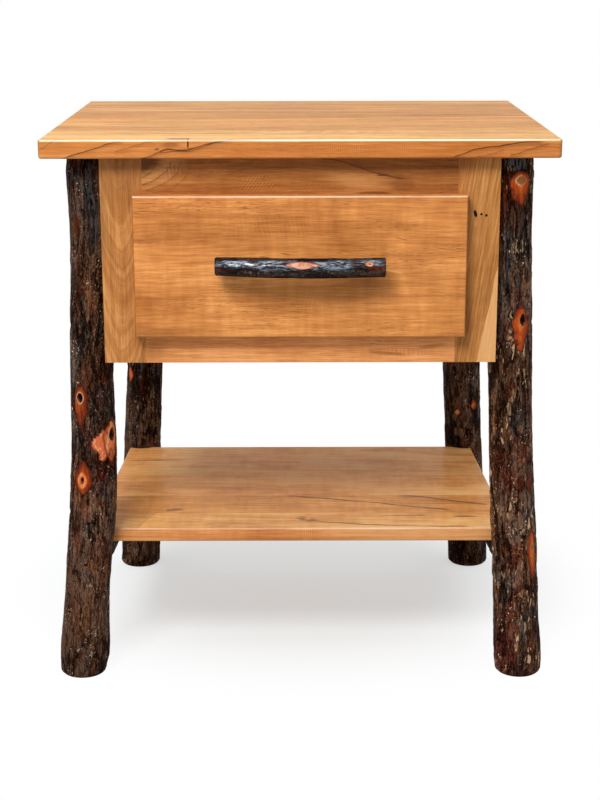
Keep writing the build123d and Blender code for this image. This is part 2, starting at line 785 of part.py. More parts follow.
def main():
    nodes = legs_and_shelf()
    lags = nodes["front_leg_bolts"]
    rear = nodes["rear_leg_bolts"] + nodes["rear_leg_nuts"]
    nodes |= case_and_top(rear, lags)
    nodes |= drawer_and_slides()
    nodes = {name: Compound(children=solids_of(made)) for name, made in nodes.items()}
    whole = Compound(children=[shape.moved(Location()) for shape in nodes.values()]).bounding_box()
    home = Pos(-whole.center().X, -whole.center().Y, -whole.min.Z)
    print("moved to the bottom centre of the bounding box by", home.position)
    print("overall size", whole.size)
    os.makedirs("parts", exist_ok=True)
    for name, shape in nodes.items():
        export_step(home * shape, f"parts/{name}.step")
    print(len(nodes), "nodes")


main()
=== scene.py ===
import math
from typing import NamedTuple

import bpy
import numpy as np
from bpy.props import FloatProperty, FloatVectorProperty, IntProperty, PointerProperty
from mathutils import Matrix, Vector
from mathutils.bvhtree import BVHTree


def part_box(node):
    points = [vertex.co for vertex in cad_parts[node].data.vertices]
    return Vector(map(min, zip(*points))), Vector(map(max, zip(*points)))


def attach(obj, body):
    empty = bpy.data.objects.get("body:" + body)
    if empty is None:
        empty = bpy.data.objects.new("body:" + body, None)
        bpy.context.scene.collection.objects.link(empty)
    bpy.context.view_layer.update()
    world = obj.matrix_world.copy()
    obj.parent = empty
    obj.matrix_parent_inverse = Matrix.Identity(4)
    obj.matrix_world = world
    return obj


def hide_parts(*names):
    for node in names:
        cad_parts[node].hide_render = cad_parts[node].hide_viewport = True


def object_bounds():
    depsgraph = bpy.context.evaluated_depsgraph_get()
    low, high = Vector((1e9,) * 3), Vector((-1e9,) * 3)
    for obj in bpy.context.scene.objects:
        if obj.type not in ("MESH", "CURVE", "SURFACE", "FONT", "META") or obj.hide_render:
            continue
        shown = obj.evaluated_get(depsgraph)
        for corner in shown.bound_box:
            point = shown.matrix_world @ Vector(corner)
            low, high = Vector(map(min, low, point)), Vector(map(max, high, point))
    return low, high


bl_info = {
    "name": "Hickory Side Table",
    "version": (1, 0, 0),
    "blender": (4, 5, 0),
    "location": "View3D > Sidebar > Hickory Table",
    "description": "Gives a rustic side table its bark, honey stained boards, steel and a pale studio",
    "category": "Object",
}

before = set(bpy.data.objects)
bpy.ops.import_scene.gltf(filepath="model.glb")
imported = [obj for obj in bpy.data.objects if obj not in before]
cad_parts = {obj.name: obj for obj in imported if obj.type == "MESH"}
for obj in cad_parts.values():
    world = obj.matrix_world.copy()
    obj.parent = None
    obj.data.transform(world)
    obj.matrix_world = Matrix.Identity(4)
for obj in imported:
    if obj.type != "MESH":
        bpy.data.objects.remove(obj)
cad_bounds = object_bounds()
MM = 0.001


# ---- What a user may change --------------------------------------------------------------------
def colour_property(name, description, default):
    """A linear colour that a user may change."""
    return FloatVectorProperty(
        name=name, description=description, default=default, subtype="COLOR", min=0, max=1
    )


class StageSettings(bpy.types.PropertyGroup):
    camera_place: FloatVectorProperty(
        name="Camera Place",
        description="Where the camera stands",
        default=(-0.00315, -2.1425, 0.9037),
        subtype="TRANSLATION",
        unit="LENGTH",
    )
    camera_turn: FloatVectorProperty(
        name="Camera Turn",
        description="How the camera is turned",
        default=(math.radians(74.639), math.radians(0.094), math.radians(-0.106)),
        subtype="EULER",
        unit="ROTATION",
    )
    lens: FloatProperty(
        name="Lens", description="Focal length on a 36 mm frame", default=73.68, unit="CAMERA"
    )
    key_power: FloatProperty(
        name="Key Light", description="Soft box in front, above and to the left", default=42.0, unit="POWER"
    )
    top_power: FloatProperty(
        name="Top Light", description="Large soft box overhead", default=22.0, unit="POWER"
    )
    ambient: FloatProperty(name="Room Light", description="Even light from all round", default=0.43)
    floor_lift: FloatProperty(
        name="Floor Lift", description="How far the floor is lifted towards white in the view", default=0.50
    )


class BoardSettings(bpy.types.PropertyGroup):
    light: colour_property("Light Wood", "Stained early wood", (0.80, 0.315, 0.086))
    deep: colour_property("Deep Wood", "Stained late wood", (0.38, 0.112, 0.022))
    inner: colour_property("Inner Wood", "Unstained boards inside the case", (0.62, 0.42, 0.23))
    gloss: FloatProperty(
        name="Clear Coat", description="Share of the satin clear coat", default=0.09, min=0, max=1
    )


class BarkSettings(bpy.types.PropertyGroup):
    relief: FloatProperty(
        name="Relief", description="Height of the bark's ridges", default=1.3 * MM, unit="LENGTH"
    )
    round_count: IntProperty(name="Faces Round", description="Faces round a leg", default=192)
    row_count: IntProperty(name="Rows", description="Rows of faces up a leg", default=496)
    # The fissure colour is partly the bark's own dark and partly painted shade in its cracks.
    fissure: colour_property("Fissure", "Bottom of the cracks", (0.0075, 0.0024, 0.001))
    plate: colour_property("Plate", "Face of the bark", (0.078, 0.033, 0.018))
    crest: colour_property("Crest", "Rubbed high places", (0.190, 0.102, 0.062))
    bare: colour_property("Bare Wood", "Where the bark is shaved off", (0.50, 0.075, 0.009))


class SteelSettings(bpy.types.PropertyGroup):
    zinc: colour_property("Zinc", "Plated steel", (0.40, 0.41, 0.43))


class TableSettings(bpy.types.PropertyGroup):
    stage: PointerProperty(type=StageSettings)
    board: PointerProperty(type=BoardSettings)
    bark: PointerProperty(type=BarkSettings)
    steel: PointerProperty(type=SteelSettings)


# ---- Shader nodes in few words -----------------------------------------------------------------
class Nodes:
    """One tree of shader nodes. Any input may be a plain value or another node's socket."""

    def __init__(self, tree):
        self.tree = tree
        self.tree.nodes.clear()

    def feed(self, socket, value):
        """Gives an input its value or its link."""
        if isinstance(value, bpy.types.NodeSocket):
            self.tree.links.new(value, socket)
        elif socket.type == "RGBA" and len(value) == 3:
            socket.default_value = (*value, 1.0)
        else:
            socket.default_value = value

    def node(self, kind, inputs=None, **settings):
        """A new shader node with these inputs and settings."""
        made = self.tree.nodes.new("ShaderNode" + kind)
        for key, value in settings.items():
            setattr(made, key, value)
        for name, value in (inputs or {}).items():
            self.feed(made.inputs[name], value)
        return made

    def math(self, operation, *values, clamp=False):
        made = self.node("Math", operation=operation, use_clamp=clamp)
        for socket, value in zip(made.inputs, values):
            self.feed(socket, value)
        return made.outputs[0]

    def seen(self):
        """1 where the camera looks, straight or by way of a shine or a clear sheet."""
        rays = self.node("LightPath").outputs
        share = self.math("MAXIMUM", rays["Is Camera Ray"], rays["Is Glossy Ray"])
        return self.math("MAXIMUM", share, rays["Is Transmission Ray"])


class Finish(Nodes):
    """One material's nodes."""

    def __init__(self, name):
        self.material = bpy.data.materials.new(name)
        self.material.use_nodes = True
        super().__init__(self.material.node_tree)

    def plus(self, first, second):
        return self.math("ADD", first, second)

    def less(self, first, second):
        return self.math("SUBTRACT", first, second)

    def times(self, *factors):
        """The factors' product, taken from left to right."""
        product = factors[0]
        for factor in factors[1:]:
            product = self.math("MULTIPLY", product, factor)
        return product

    def gap(self, first, second):
        """How far apart the two values are."""
        return self.math("ABSOLUTE", self.less(first, second))

    def held(self, value):
        """The value held between 0 and 1."""
        return self.math("ADD", value, 0.0, clamp=True)

    def vector(self, operation, *values):
        made = self.node("VectorMath", operation=operation)
        for socket, value in zip(made.inputs, values):
            self.feed(socket, value)
        return made.outputs["Value" if operation == "LENGTH" else "Vector"]

    def place(self):
        """The place on the piece, in metres."""
        return self.node("TexCoord").outputs["Object"]

    def parts(self, vector):
        """A vector's three numbers."""
        return self.node("SeparateXYZ", {"Vector": vector}).outputs

    def turned(self, vector, axis, degrees):
        """The vector turned about one of the axes."""
        normal = tuple(float(letter == axis) for letter in "XYZ")
        turn = {"Vector": vector, "Axis": normal, "Angle": math.radians(degrees)}
        return self.node("VectorRotate", turn, rotation_type="AXIS_ANGLE").outputs["Vector"]

    def mix(self, share, first, second, blend="MIX"):
        made = self.node("Mix", data_type="RGBA", blend_type=blend, clamp_factor=True)
        self.feed(made.inputs[0], share)
        self.feed(made.inputs[6], first)
        self.feed(made.inputs[7], second)
        return made.outputs[2]

    def span(self, value, low, high, to_low=0.0, to_high=1.0):
        """The value carried smoothly from one range to another, and held past its ends."""
        made = self.node("MapRange", interpolation_type="SMOOTHSTEP", clamp=True)
        for socket, given in zip(made.inputs, (value, low, high, to_low, to_high)):
            self.feed(socket, given)
        return made.outputs[0]

    def curve(self, value, stops):
        """A grey value drawn as a smooth curve through stops of (place, value)."""
        made = self.node("ValToRGB", {"Fac": value})
        made.color_ramp.interpolation = "CARDINAL"
        elements = made.color_ramp.elements
        while len(elements) < len(stops):
            elements.new(0.5)
        for element, (place, level) in zip(elements, stops):
            element.position = place
            element.color = (level, level, level, 1.0)
        return made.outputs["Color"]

    def noise(self, place, repeats, detail=3.0, roughness=0.5):
        """Noise with so many repeats in a metre, given as one number or as one for each axis."""
        scale = 1.0
        if isinstance(repeats, tuple):
            place = self.vector("MULTIPLY", place, repeats)
        else:
            scale = repeats
        inputs = {"Vector": place, "Scale": scale, "Detail": detail, "Roughness": roughness}
        return self.node("TexNoise", inputs).outputs["Fac"]

    def attribute(self, name):
        return self.node("Attribute", attribute_name=name).outputs["Fac"]

    def bump(self, height, distance, strength):
        inputs = {"Height": height, "Distance": distance, "Strength": strength}
        return self.node("Bump", inputs).outputs["Normal"]

    def done(self, inputs):
        """Ends the material in a Principled surface with these inputs."""
        surface = self.node("BsdfPrincipled", inputs)
        output = self.node("OutputMaterial")
        self.feed(output.inputs["Surface"], surface.outputs["BSDF"])
        return self.material


def dress(node, material):
    """Gives a solid node its finish."""
    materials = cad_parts[node].data.materials
    materials.clear()
    materials.append(material)


def placed(name, data):
    """Puts new data into the scene as an object."""
    thing = bpy.data.objects.new(name, data)
    bpy.context.scene.collection.objects.link(thing)
    return thing


def metres(lengths):
    """Millimetres as metres."""
    return tuple(length * MM for length in lengths)


# ---- Board wood --------------------------------------------------------------------------------
class Mark(NamedTuple):
    """A soft edged spot or streak in a board: place and half sizes in millimetres, turn in degrees
    about the axis through the board's face."""

    place: tuple
    size: tuple
    colour: tuple
    strength: float = 1.0
    turn: float = 0.0
    soft: float = 0.5
    ragged: float = 0.25


class Streak(NamedTuple):
    """A thin wandering line in a board's face, in millimetres. plane names its run, its height and its
    depth axis; points are (run, height) along it."""

    plane: str
    face: float
    points: tuple
    width: float = 0.8
    colour: tuple = (0.10, 0.03, 0.010)
    strength: float = 0.7
    shade: float = 0.0  # darkening that fades away on the low side, or the high side if negative
    reach: float = 7.0
    deep: float = 5.0


class Curl(NamedTuple):
    """A patch where the fibres ripple: place, half sizes and pitch in millimetres, turn in degrees."""

    place: tuple
    size: tuple
    pitch: float = 3.0
    turn: float = 0.0
    strength: float = 0.5


class Grain(NamedTuple):
    """How one board is figured. Axes are (along, across, through) the board, lengths in millimetres."""

    axes: str = "XYZ"
    seed: float = 0.0
    heart: tuple = (60.0, -90.0)
    lean: tuple = (0.02, 0.06)
    taper: float = 0.0  # how fast the rings widen along the board, which draws arches on its face
    slope: float = 0.0  # how far the fibres run across the board for each step along it
    ring: float = 5.0
    ring_depth: float = 0.5
    ring_lines: tuple = (0.3, 0.0)  # share of the dark and of the pale lines between rings
    band: float = 26.0  # broad bands in a metre across
    band_depth: float = 1.0
    streak_depth: float = 0.55
    blotch_depth: float = 0.5
    fleck: float = 0.5
    wander: float = 9.0
    tone: tuple = (1.0, 1.0, 1.0)
    deep_tone: tuple = (1.0, 1.0, 1.0)
    back_tone: tuple = (1.0, 1.0, 1.0)  # of the edge that faces the wall
    bias: float = 0.0
    # share of the painted highlight, partly real wear, along the upper front arris
    rub: float = 0.0
    marks: tuple = ()
    streaks: tuple = ()
    curls: tuple = ()


def ordered_place(finish, grain, centre):
    """The place in a board as (along, across, through), and the same bent as its fibres run."""
    picked = dict(zip("XYZ", finish.parts(finish.place())))
    along, across, through = (picked[axis] for axis in grain.axes)
    along = finish.less(along, centre[0])
    across = finish.plus(across, finish.times(along, grain.slope))
    joined = finish.node("CombineXYZ", {"X": along, "Y": across, "Z": through}).outputs["Vector"]
    moved = finish.vector("ADD", joined, (grain.seed * 1.37, grain.seed * 0.71, grain.seed * 2.13))
    drift = finish.noise(moved, (1.6, 6.0, 6.0), detail=2.0)
    sway = finish.noise(moved, (2.4, 9.0, 9.0), detail=2.0)
    reach = 2 * grain.wander * MM
    waves = [finish.times(finish.less(wave, 0.5), reach) for wave in (drift, sway)]
    bend = finish.node("CombineXYZ", {"Y": waves[0], "Z": waves[1]}).outputs["Vector"]
    across = finish.plus(across, waves[0])
    through = finish.plus(through, waves[1])
    return along, across, through, finish.vector("ADD", moved, bend)


def ring_figure(finish, grain, centre, along, across, through, moved):
    """The growth rings that the board was sawn through: their tone and the lines between them."""
    parts = []
    for value, mid, heart, lean in (
        (across, centre[1], grain.heart[0], grain.lean[0]),
        (through, centre[2], grain.heart[1], grain.lean[1]),
    ):
        offset = finish.less(value, mid + heart * MM)
        parts.append(finish.plus(offset, finish.times(along, lean)))
    squares = [finish.times(part, part) for part in parts]
    distance = finish.math("SQRT", finish.plus(*squares))
    distance = finish.less(distance, finish.times(along, grain.taper))
    fine = finish.noise(moved, (9.0, 90.0, 90.0), detail=2.0)
    distance = finish.plus(distance, finish.times(fine, 0.45 * grain.ring * MM))
    growth = finish.math("DIVIDE", distance, grain.ring * MM)
    year = finish.node("CombineXYZ", {"X": growth, "Y": grain.seed}).outputs["Vector"]
    wood = finish.noise(year, 1.0, detail=2.0, roughness=0.6)
    fade = finish.span(finish.noise(moved, (2.0, 12.0, 12.0), detail=2.0), 0.35, 0.65, 0.35, 1.0)
    slow = finish.noise(year, 0.21, detail=1.0)
    fade = finish.times(fade, finish.span(slow, 0.42, 0.58, 0.25, 1.0))
    tone = finish.times(finish.less(finish.span(wood, 0.36, 0.64), 0.5), fade)
    late = finish.span(finish.gap(wood, 0.52), 0.035, 0.008)
    pale = finish.span(finish.gap(wood, 0.43), 0.03, 0.008)
    return tone, finish.times(late, fade), finish.times(pale, fade)


def curled(finish, depth, grain):
    """The board's depth of tone with its rippled patches added."""
    place = finish.place()
    for curl in grain.curls:
        local = finish.vector("SUBTRACT", place, metres(curl.place))
        reach = finish.vector("LENGTH", finish.vector("DIVIDE", local, metres(curl.size)))
        share = finish.span(reach, 1.0, 0.4)
        turned = finish.turned(local, grain.axes[2], curl.turn)
        across_ripples = finish.parts(turned)["XYZ".index(grain.axes[0])]
        shake = finish.noise(place, 60.0, detail=2.0)
        phase = finish.plus(finish.math("DIVIDE", across_ripples, curl.pitch * MM), finish.times(shake, 1.6))
        ripple = finish.math("SINE", finish.times(phase, 2 * math.pi))
        broken = finish.span(finish.noise(place, 120.0, detail=2.0), 0.4, 0.6)
        depth = finish.plus(depth, finish.times(ripple, share, finish.times(broken, curl.strength)))
    return depth


def marked(finish, colour, grain, moved):
    """The board's colour with its knots, cracks, streaks and painted shade laid over it."""
    place = finish.place()
    wobble = finish.noise(moved, (60.0, 300.0, 300.0))
    for mark in grain.marks:
        local = finish.vector("SUBTRACT", place, metres(mark.place))
        if mark.turn:
            local = finish.turned(local, grain.axes[2], mark.turn)
        reach = finish.vector("LENGTH", finish.vector("DIVIDE", local, metres(mark.size)))
        shaken = finish.times(finish.less(wobble, 0.5), 2 * mark.ragged)
        share = finish.span(finish.plus(reach, shaken), 1.0 - mark.soft, 1.0, mark.strength, 0.0)
        colour = finish.mix(share, colour, mark.colour)
    return colour


def streaked(finish, colour, grain, moved):
    """The board's colour with its thin wandering lines and the shade beside them."""
    picked = dict(zip("XYZ", finish.parts(finish.place())))
    shaken = finish.less(finish.noise(moved, (45.0, 160.0, 160.0)), 0.5)
    faded = finish.span(finish.noise(moved, (28.0, 60.0, 60.0), detail=2.0), 0.3, 0.55, 0.6, 1.0)
    for streak in grain.streaks:
        run, height, depth = (picked[axis] for axis in streak.plane)
        first, last = streak.points[0][0], streak.points[-1][0]
        share = finish.math("DIVIDE", finish.less(run, first * MM), (last - first) * MM)
        levels = [point[1] for point in streak.points]
        low, rise = min(levels), max(max(levels) - min(levels), 1.0)
        stops = [((x - first) / (last - first), (level - low) / rise) for x, level in streak.points]
        line = finish.curve(share, stops)
        line = finish.plus(finish.times(line, rise * MM), low * MM)
        line = finish.plus(line, finish.times(shaken, 3.0 * MM))
        offset = finish.less(height, line)
        ends = finish.times(finish.span(share, 0.0, 0.07), finish.span(share, 1.0, 0.93))
        buried = finish.gap(depth, streak.face * MM)
        ends = finish.times(ends, finish.span(buried, streak.deep * MM, 0.6 * streak.deep * MM))
        if streak.shade:
            way = -1.0 if streak.shade > 0 else 1.0
            aside = finish.times(offset, way)
            shade = finish.times(
                finish.span(aside, streak.reach * MM, 0.0),
                finish.span(aside, -0.2 * MM, 0.2 * MM),
                ends,
                abs(streak.shade),
            )
            colour = finish.mix(shade, colour, streak.colour)
        thin = finish.span(finish.math("ABSOLUTE", offset), streak.width * MM, 0.3 * streak.width * MM)
        thin = finish.times(thin, ends, faded, streak.strength)
        colour = finish.mix(thin, colour, streak.colour)
    return colour


def front_arris(finish, low, high):
    """1 at the board's upper front arris, 0 past 2.6 mm from it."""
    place = finish.place()
    aside = finish.vector("SUBTRACT", place, (0.0, low.y, high.z))
    aside = finish.vector("MULTIPLY", aside, (0.0, 1.0, 1.0))
    return finish.span(finish.vector("LENGTH", aside), 1.0 * MM, 2.6 * MM, 1.0, 0.0)


MEAN_DEPTH = 0.36  # a board's mean place between its light and its deep colour
END_TONE = (1.0, 0.94, 0.9)  # end grain against the deep colour
BRIGHT_TONE = (1.12, 1.32, 1.7)  # the brightest wood against the light colour
ARRIS_HIGHLIGHT_AND_WEAR = (1.0, 0.84, 0.64)  # painted highlight along the arris, partly real wear


def board_finish(name, node, grain, light, deep, gloss, coat_roughness=0.16):
    """Stained and clear coated board wood: rings, bands, streaks, fibres, pores, blotches, marks and a
    painted arris highlight.
    """
    finish = Finish(name)
    low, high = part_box(node)
    middle = dict(zip("XYZ", (low + high) / 2))
    centre = [middle[axis] for axis in grain.axes]
    along, across, through, moved = ordered_place(finish, grain, centre)
    tone, late, pale = ring_figure(finish, grain, centre, along, across, through, moved)
    bands = finish.noise(moved, (0.065 * grain.band, grain.band, grain.band), detail=4.0, roughness=0.6)
    streaks = finish.noise(moved, (3.2, 85.0, 85.0), detail=4.0, roughness=0.6)
    threads = finish.noise(moved, (11.0, 300.0, 300.0), roughness=0.65)
    fibres = finish.noise(moved, (32.0, 620.0, 620.0), roughness=0.7)
    blotch = finish.noise(moved, (7.0, 13.0, 13.0), roughness=0.6)
    curl = finish.noise(moved, (110.0, 26.0, 26.0), detail=1.0)
    shares = (  # value, its weight in the board's depth of tone, and where it leaves that as it is
        (tone, 1.5 * grain.ring_depth, 0.0),
        (late, grain.ring_lines[0], 0.1),
        (bands, 2.6 * grain.band_depth * grain.streak_depth, 0.5),
        (streaks, 1.9 * grain.streak_depth, 0.5),
        (threads, 1.7 * grain.streak_depth, 0.5),
        (fibres, 1.8 * grain.streak_depth, 0.5),
        (blotch, 1.8 * grain.blotch_depth, 0.5),
        (curl, 0.45 * grain.blotch_depth, 0.5),
    )
    depth = MEAN_DEPTH + grain.bias
    for value, weight, zero in shares:
        if weight:
            part = finish.times(finish.less(value, zero), weight)
            depth = finish.plus(part, depth)
    depth = curled(finish, depth, grain)
    light = tuple(a * b for a, b in zip(light, grain.tone))
    end_wood = tuple(0.55 * a * b for a, b in zip(deep, END_TONE))
    deep = tuple(a * b * c for a, b, c in zip(deep, grain.tone, grain.deep_tone))
    colour = finish.mix(finish.held(depth), light, deep)
    bright = tuple(min(1.0, a * b) for a, b in zip(BRIGHT_TONE, light))
    colour = finish.mix(finish.span(depth, 0.22, -0.35, 0.0, 0.8), colour, bright)
    if grain.ring_lines[1]:
        colour = finish.mix(finish.times(pale, grain.ring_lines[1]), colour, bright)
    pores = finish.noise(moved, (95.0, 1150.0, 1150.0), detail=0.0)
    dashes = finish.span(pores, 0.63, 0.72)
    dash_field = finish.span(finish.noise(moved, (7.0, 30.0, 30.0), detail=1.0), 0.46, 0.64)
    dash_share = finish.times(dashes, dash_field, grain.fleck)
    colour = finish.mix(dash_share, colour, tuple(0.42 * v for v in deep))
    colour = marked(finish, colour, grain, moved)
    colour = streaked(finish, colour, grain, moved)
    thread_tone = finish.plus(finish.times(threads, 0.5), finish.times(fibres, 0.5))
    colour = finish.mix(1.0, colour, finish.span(thread_tone, 0.36, 0.64, 1.06, 0.92), "MULTIPLY")
    facing = finish.parts(finish.node("NewGeometry").outputs["Normal"])
    end = finish.math("ABSOLUTE", facing["XYZ".index(grain.axes[0])])
    end = finish.span(end, 0.6, 0.95, 0.0, 0.66)
    colour = finish.mix(end, colour, end_wood)
    behind = finish.span(facing["Y"], 0.6, 0.95)
    colour = finish.mix(behind, colour, grain.back_tone, "MULTIPLY")
    # A painted highlight, partly real wear, along the board's upper front arris.
    if grain.rub:
        wear_and_gleam = finish.span(finish.noise(moved, (7.0, 20.0, 20.0)), 0.35, 0.6, 0.45, 1.0)
        edge = finish.times(front_arris(finish, low, high), wear_and_gleam, grain.rub)
        colour = finish.mix(edge, colour, ARRIS_HIGHLIGHT_AND_WEAR)
    height = finish.less(fibres, finish.times(dash_share, 0.8))
    return finish.done(
        {
            "Base Color": colour,
            "Roughness": finish.span(fibres, 0.3, 0.7, 0.42, 0.56),
            "Specular IOR Level": 0.06,
            "Coat Weight": gloss,
            "Coat Roughness": coat_roughness,
            "Normal": finish.bump(height, 0.00012, 0.6),
        }
    )


# ---- Poles with the bark on --------------------------------------------------------------------
class Knot(NamedTuple):
    """A shaved patch with a knot's heart: places in degrees round and millimetres along the pole."""

    bearing: float
    height: float
    wide: float
    above: float
    below: float
    corner: float = 1.7  # 1 is a diamond, 2 an ellipse
    pit: tuple = (0.0, 0.0)
    ring: float = 0.0
    heart: tuple = (0.0, 0.0)
    blush: float = 0.3
    ragged: float = 0.25
    slip: tuple = (0.0, 0.0)  # the patch's middle from the knot's heart
    swell: float = 0.7
    stain: float = 0.0  # above 0 the patch is only a red stain in the bark
    glow: float = 1.0  # how far the shaved wood brightens towards the heart
    eye: tuple = (3.0, 3.2)  # half sizes of a closed heart


class PoleShape(NamedTuple):
    """The measured run of a pole: stations along it, its centres, radii and its three directions."""

    start: np.ndarray
    along: np.ndarray
    front: np.ndarray
    side: np.ndarray
    length: float
    stations: np.ndarray
    centres: np.ndarray
    radii: np.ndarray


# How a solid is measured
RAY_REACH = 80 * MM  # rays start this far out from the pole's middle
NUDGES = (0.0, 0.011 * MM, -0.017 * MM, 0.023 * MM)  # a ray that slips through a seam is moved aside
POLE_STATIONS = 44  # how often a pole is measured along its run
POLE_RAYS = 96  # and round it
FIT_ROUNDS = 12  # how often the circle is fitted anew to the points that agree with it
FIT_SHARE = 0.62  # this share of the points is kept each time
FIT_REACH = 0.25 * MM  # and all that lie this near to the circle
SKIN = 0.2 * MM  # a pole's end is measured this far inside it
SEAT_DEPTH = 0.5 * MM  # where a solid lies this far inside its round, it is cut

# How its bark is built
SEED_STEP = 101  # keeps the random numbers of two poles apart
SMOOTH_FADE = 60  # millimetres to each side of the height where the bark turns smooth
EDGE_GAP = 0.06 * MM  # rows of faces stand this far to each side of a seat's edge
FOOT_MARGIN = 0.5 * MM  # no seat is cut this near to the foot
END_FADE = 5 * MM  # the relief fades away so near to an end
END_BEVEL = 1.5 * MM
HIGHEST_RELIEF = 0.6 * MM
CAP_RINGS = 3  # rings of faces on a sawn end


def surface_tree(*nodes):
    """A search tree over the faces of these solid nodes."""
    points = []
    faces = []
    for node in nodes:
        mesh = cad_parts[node].data
        first = len(points)
        points += [v.co.copy() for v in mesh.vertices]
        faces += [[first + i for i in polygon.vertices] for polygon in mesh.polygons]
    return BVHTree.FromPolygons(points, faces)


def outer_radius(tree, middle, directions):
    """How far the surface lies from a middle in each direction, met from outside."""
    found = []
    for direction in directions:
        way = Vector(direction)
        reach = 0.0
        for nudge in NUDGES:
            aside = Vector((nudge, 0.7 * nudge, -0.6 * nudge))
            hit = tree.ray_cast(Vector(middle) + way * RAY_REACH + aside, -way, RAY_REACH)
            if hit[0]:
                reach = RAY_REACH - hit[3]
                break
        found.append(reach)
    return np.array(found)


def round_fit(points):
    """Centre and radius of the circle that most of these plane points lie on."""
    kept = points
    for _ in range(FIT_ROUNDS):
        table = np.column_stack([2 * kept, np.ones(len(kept))])
        x, y, c = np.linalg.lstsq(table, (kept**2).sum(axis=1), rcond=None)[0]
        radius = math.sqrt(max(c + x * x + y * y, 1e-12))
        error = np.abs(np.hypot(points[:, 0] - x, points[:, 1] - y) - radius)
        kept = points[error < max(FIT_REACH, np.quantile(error, FIT_SHARE))]
    return x, y, radius


def measured_pole(tree, start, end, front, inset):
    """Reads a pole's centre line and radius from its solid."""
    start, end = np.array(start), np.array(end)
    run = end - start
    length = float(np.linalg.norm(run))
    along = run / length
    front = np.array(front, float)
    front -= along * front.dot(along)
    front /= np.linalg.norm(front)
    side = np.cross(front, along) if along[2] < 0.5 else np.cross(along, front)
    turns = np.linspace(0, 2 * math.pi, POLE_RAYS, endpoint=False)
    directions = np.outer(np.cos(turns), front) + np.outer(np.sin(turns), side)
    stations = np.linspace(inset, length - inset, POLE_STATIONS)
    centres = []
    radii = []
    middle = start + along * inset
    for station in stations:
        middle = middle + along * ((start + along * station - middle).dot(along))
        reach = outer_radius(tree, middle, directions)
        flat = np.column_stack([reach * np.cos(turns), reach * np.sin(turns)])
        x, y, radius = round_fit(flat[reach > 0])
        middle = middle + front * x + side * y
        centres.append(middle)
        radii.append(radius)
    return PoleShape(start, along, front, side, length, stations, np.array(centres), np.array(radii))


def steps(table, at_round, at_along, period):
    """A table of numbers read with smooth steps between its cells, closed round the pole."""
    low_round = np.floor(at_round).astype(int)
    low_along = np.clip(np.floor(at_along).astype(int), 0, table.shape[1] - 2)
    share_round = at_round - low_round
    share_along = np.clip(at_along - low_along, 0, 1)
    share_round = share_round**2 * (3 - 2 * share_round)
    share_along = share_along**2 * (3 - 2 * share_along)
    near = table[low_round % period, low_along] * (1 - share_round)
    near += table[(low_round + 1) % period, low_along] * share_round
    far = table[low_round % period, low_along + 1] * (1 - share_round)
    far += table[(low_round + 1) % period, low_along + 1] * share_round
    return near * (1 - share_along) + far * share_along


def rough(turn, up, round_cells, cell_length, octaves, seed):
    """Layered noise from -1 to 1. turn runs 0 to 1 round the pole, up is in millimetres."""
    total = np.zeros_like(turn)
    weight = 0.0
    for octave in range(octaves):
        period = round_cells * 2**octave
        share = 0.55**octave
        cells_along = up / cell_length * 2**octave + 3
        numbers = np.random.default_rng(seed + 17 * octave)
        table = numbers.random((period, int(cells_along.max()) + 4)) * 2 - 1
        total += share * steps(table, turn * period, cells_along, period)
        weight += share
    return total / weight


def plates(turn, up, round_cells, cell_length, seed):
    """Long cells: how far inside its cell a place is, 0 at the cracks, and the cell's own number."""
    at_round = turn * round_cells
    at_along = up / cell_length + 3
    low_round = np.floor(at_round).astype(int)
    low_along = np.floor(at_along).astype(int)
    numbers = np.random.default_rng(seed)
    spots = numbers.random((3, round_cells, int(at_along.max()) + 5))
    nearest = np.full(turn.shape, 9.0)
    second = np.full(turn.shape, 9.0)
    own = np.zeros(turn.shape)
    for step_round in (-1, 0, 1):
        for step_along in (-1, 0, 1):
            cell_round = (low_round + step_round) % round_cells
            cell_along = np.clip(low_along + step_along, 0, spots.shape[2] - 1)
            spot = spots[:, cell_round, cell_along]
            gap_round = low_round + step_round + spot[0] - at_round
            gap_along = low_along + step_along + spot[1] - at_along
            gap = np.hypot(gap_round, gap_along)
            nearer = gap < nearest
            second = np.where(nearer, nearest, np.minimum(second, gap))
            own = np.where(nearer, spot[2], own)
            nearest = np.where(nearer, gap, nearest)
    return second - nearest, own


def eased_step(value, low, high):
    """0 below low, 1 above high and smooth between. low may be the larger."""
    share = np.clip((value - low) / (high - low), 0, 1)
    return share * share * (3 - 2 * share)


class BarkStyle(NamedTuple):
    """How coarse a pole's bark is. Cells are counted round it and their lengths are millimetres."""

    deep_round: int = 13
    deep_length: float = 85.0
    ridge_round: int = 34
    ridge_length: float = 34.0
    fibre_round: int = 72
    fibre_length: float = 15.0
    chip_round: int = 30
    chip_length: float = 12.0
    lump: float = 0.5
    deep: float = 0.95
    ridge: float = 0.6
    fibre: float = 0.4
    chip: float = 0.5
    smooth_above: float = 9999.0
    flaky: float = 0.4
    tone: tuple = (1.0, 1.0)  # brightness from the foot to the head
    gloss_and_sheen: tuple = ()  # glossy patches with painted sheen: bearing, height, half width in degrees, half length
    seed: int = 1


def smoothed(up, style):
    """How smooth the bark is, from 0 below to 1 above the height where it turns smooth."""
    return eased_step(up, style.smooth_above - SMOOTH_FADE, style.smooth_above + SMOOTH_FADE)


def crack_lines(values, width):
    """1 along the wandering lines where the values change sign, 0 away from them."""
    return np.exp(-((values / width) ** 2))


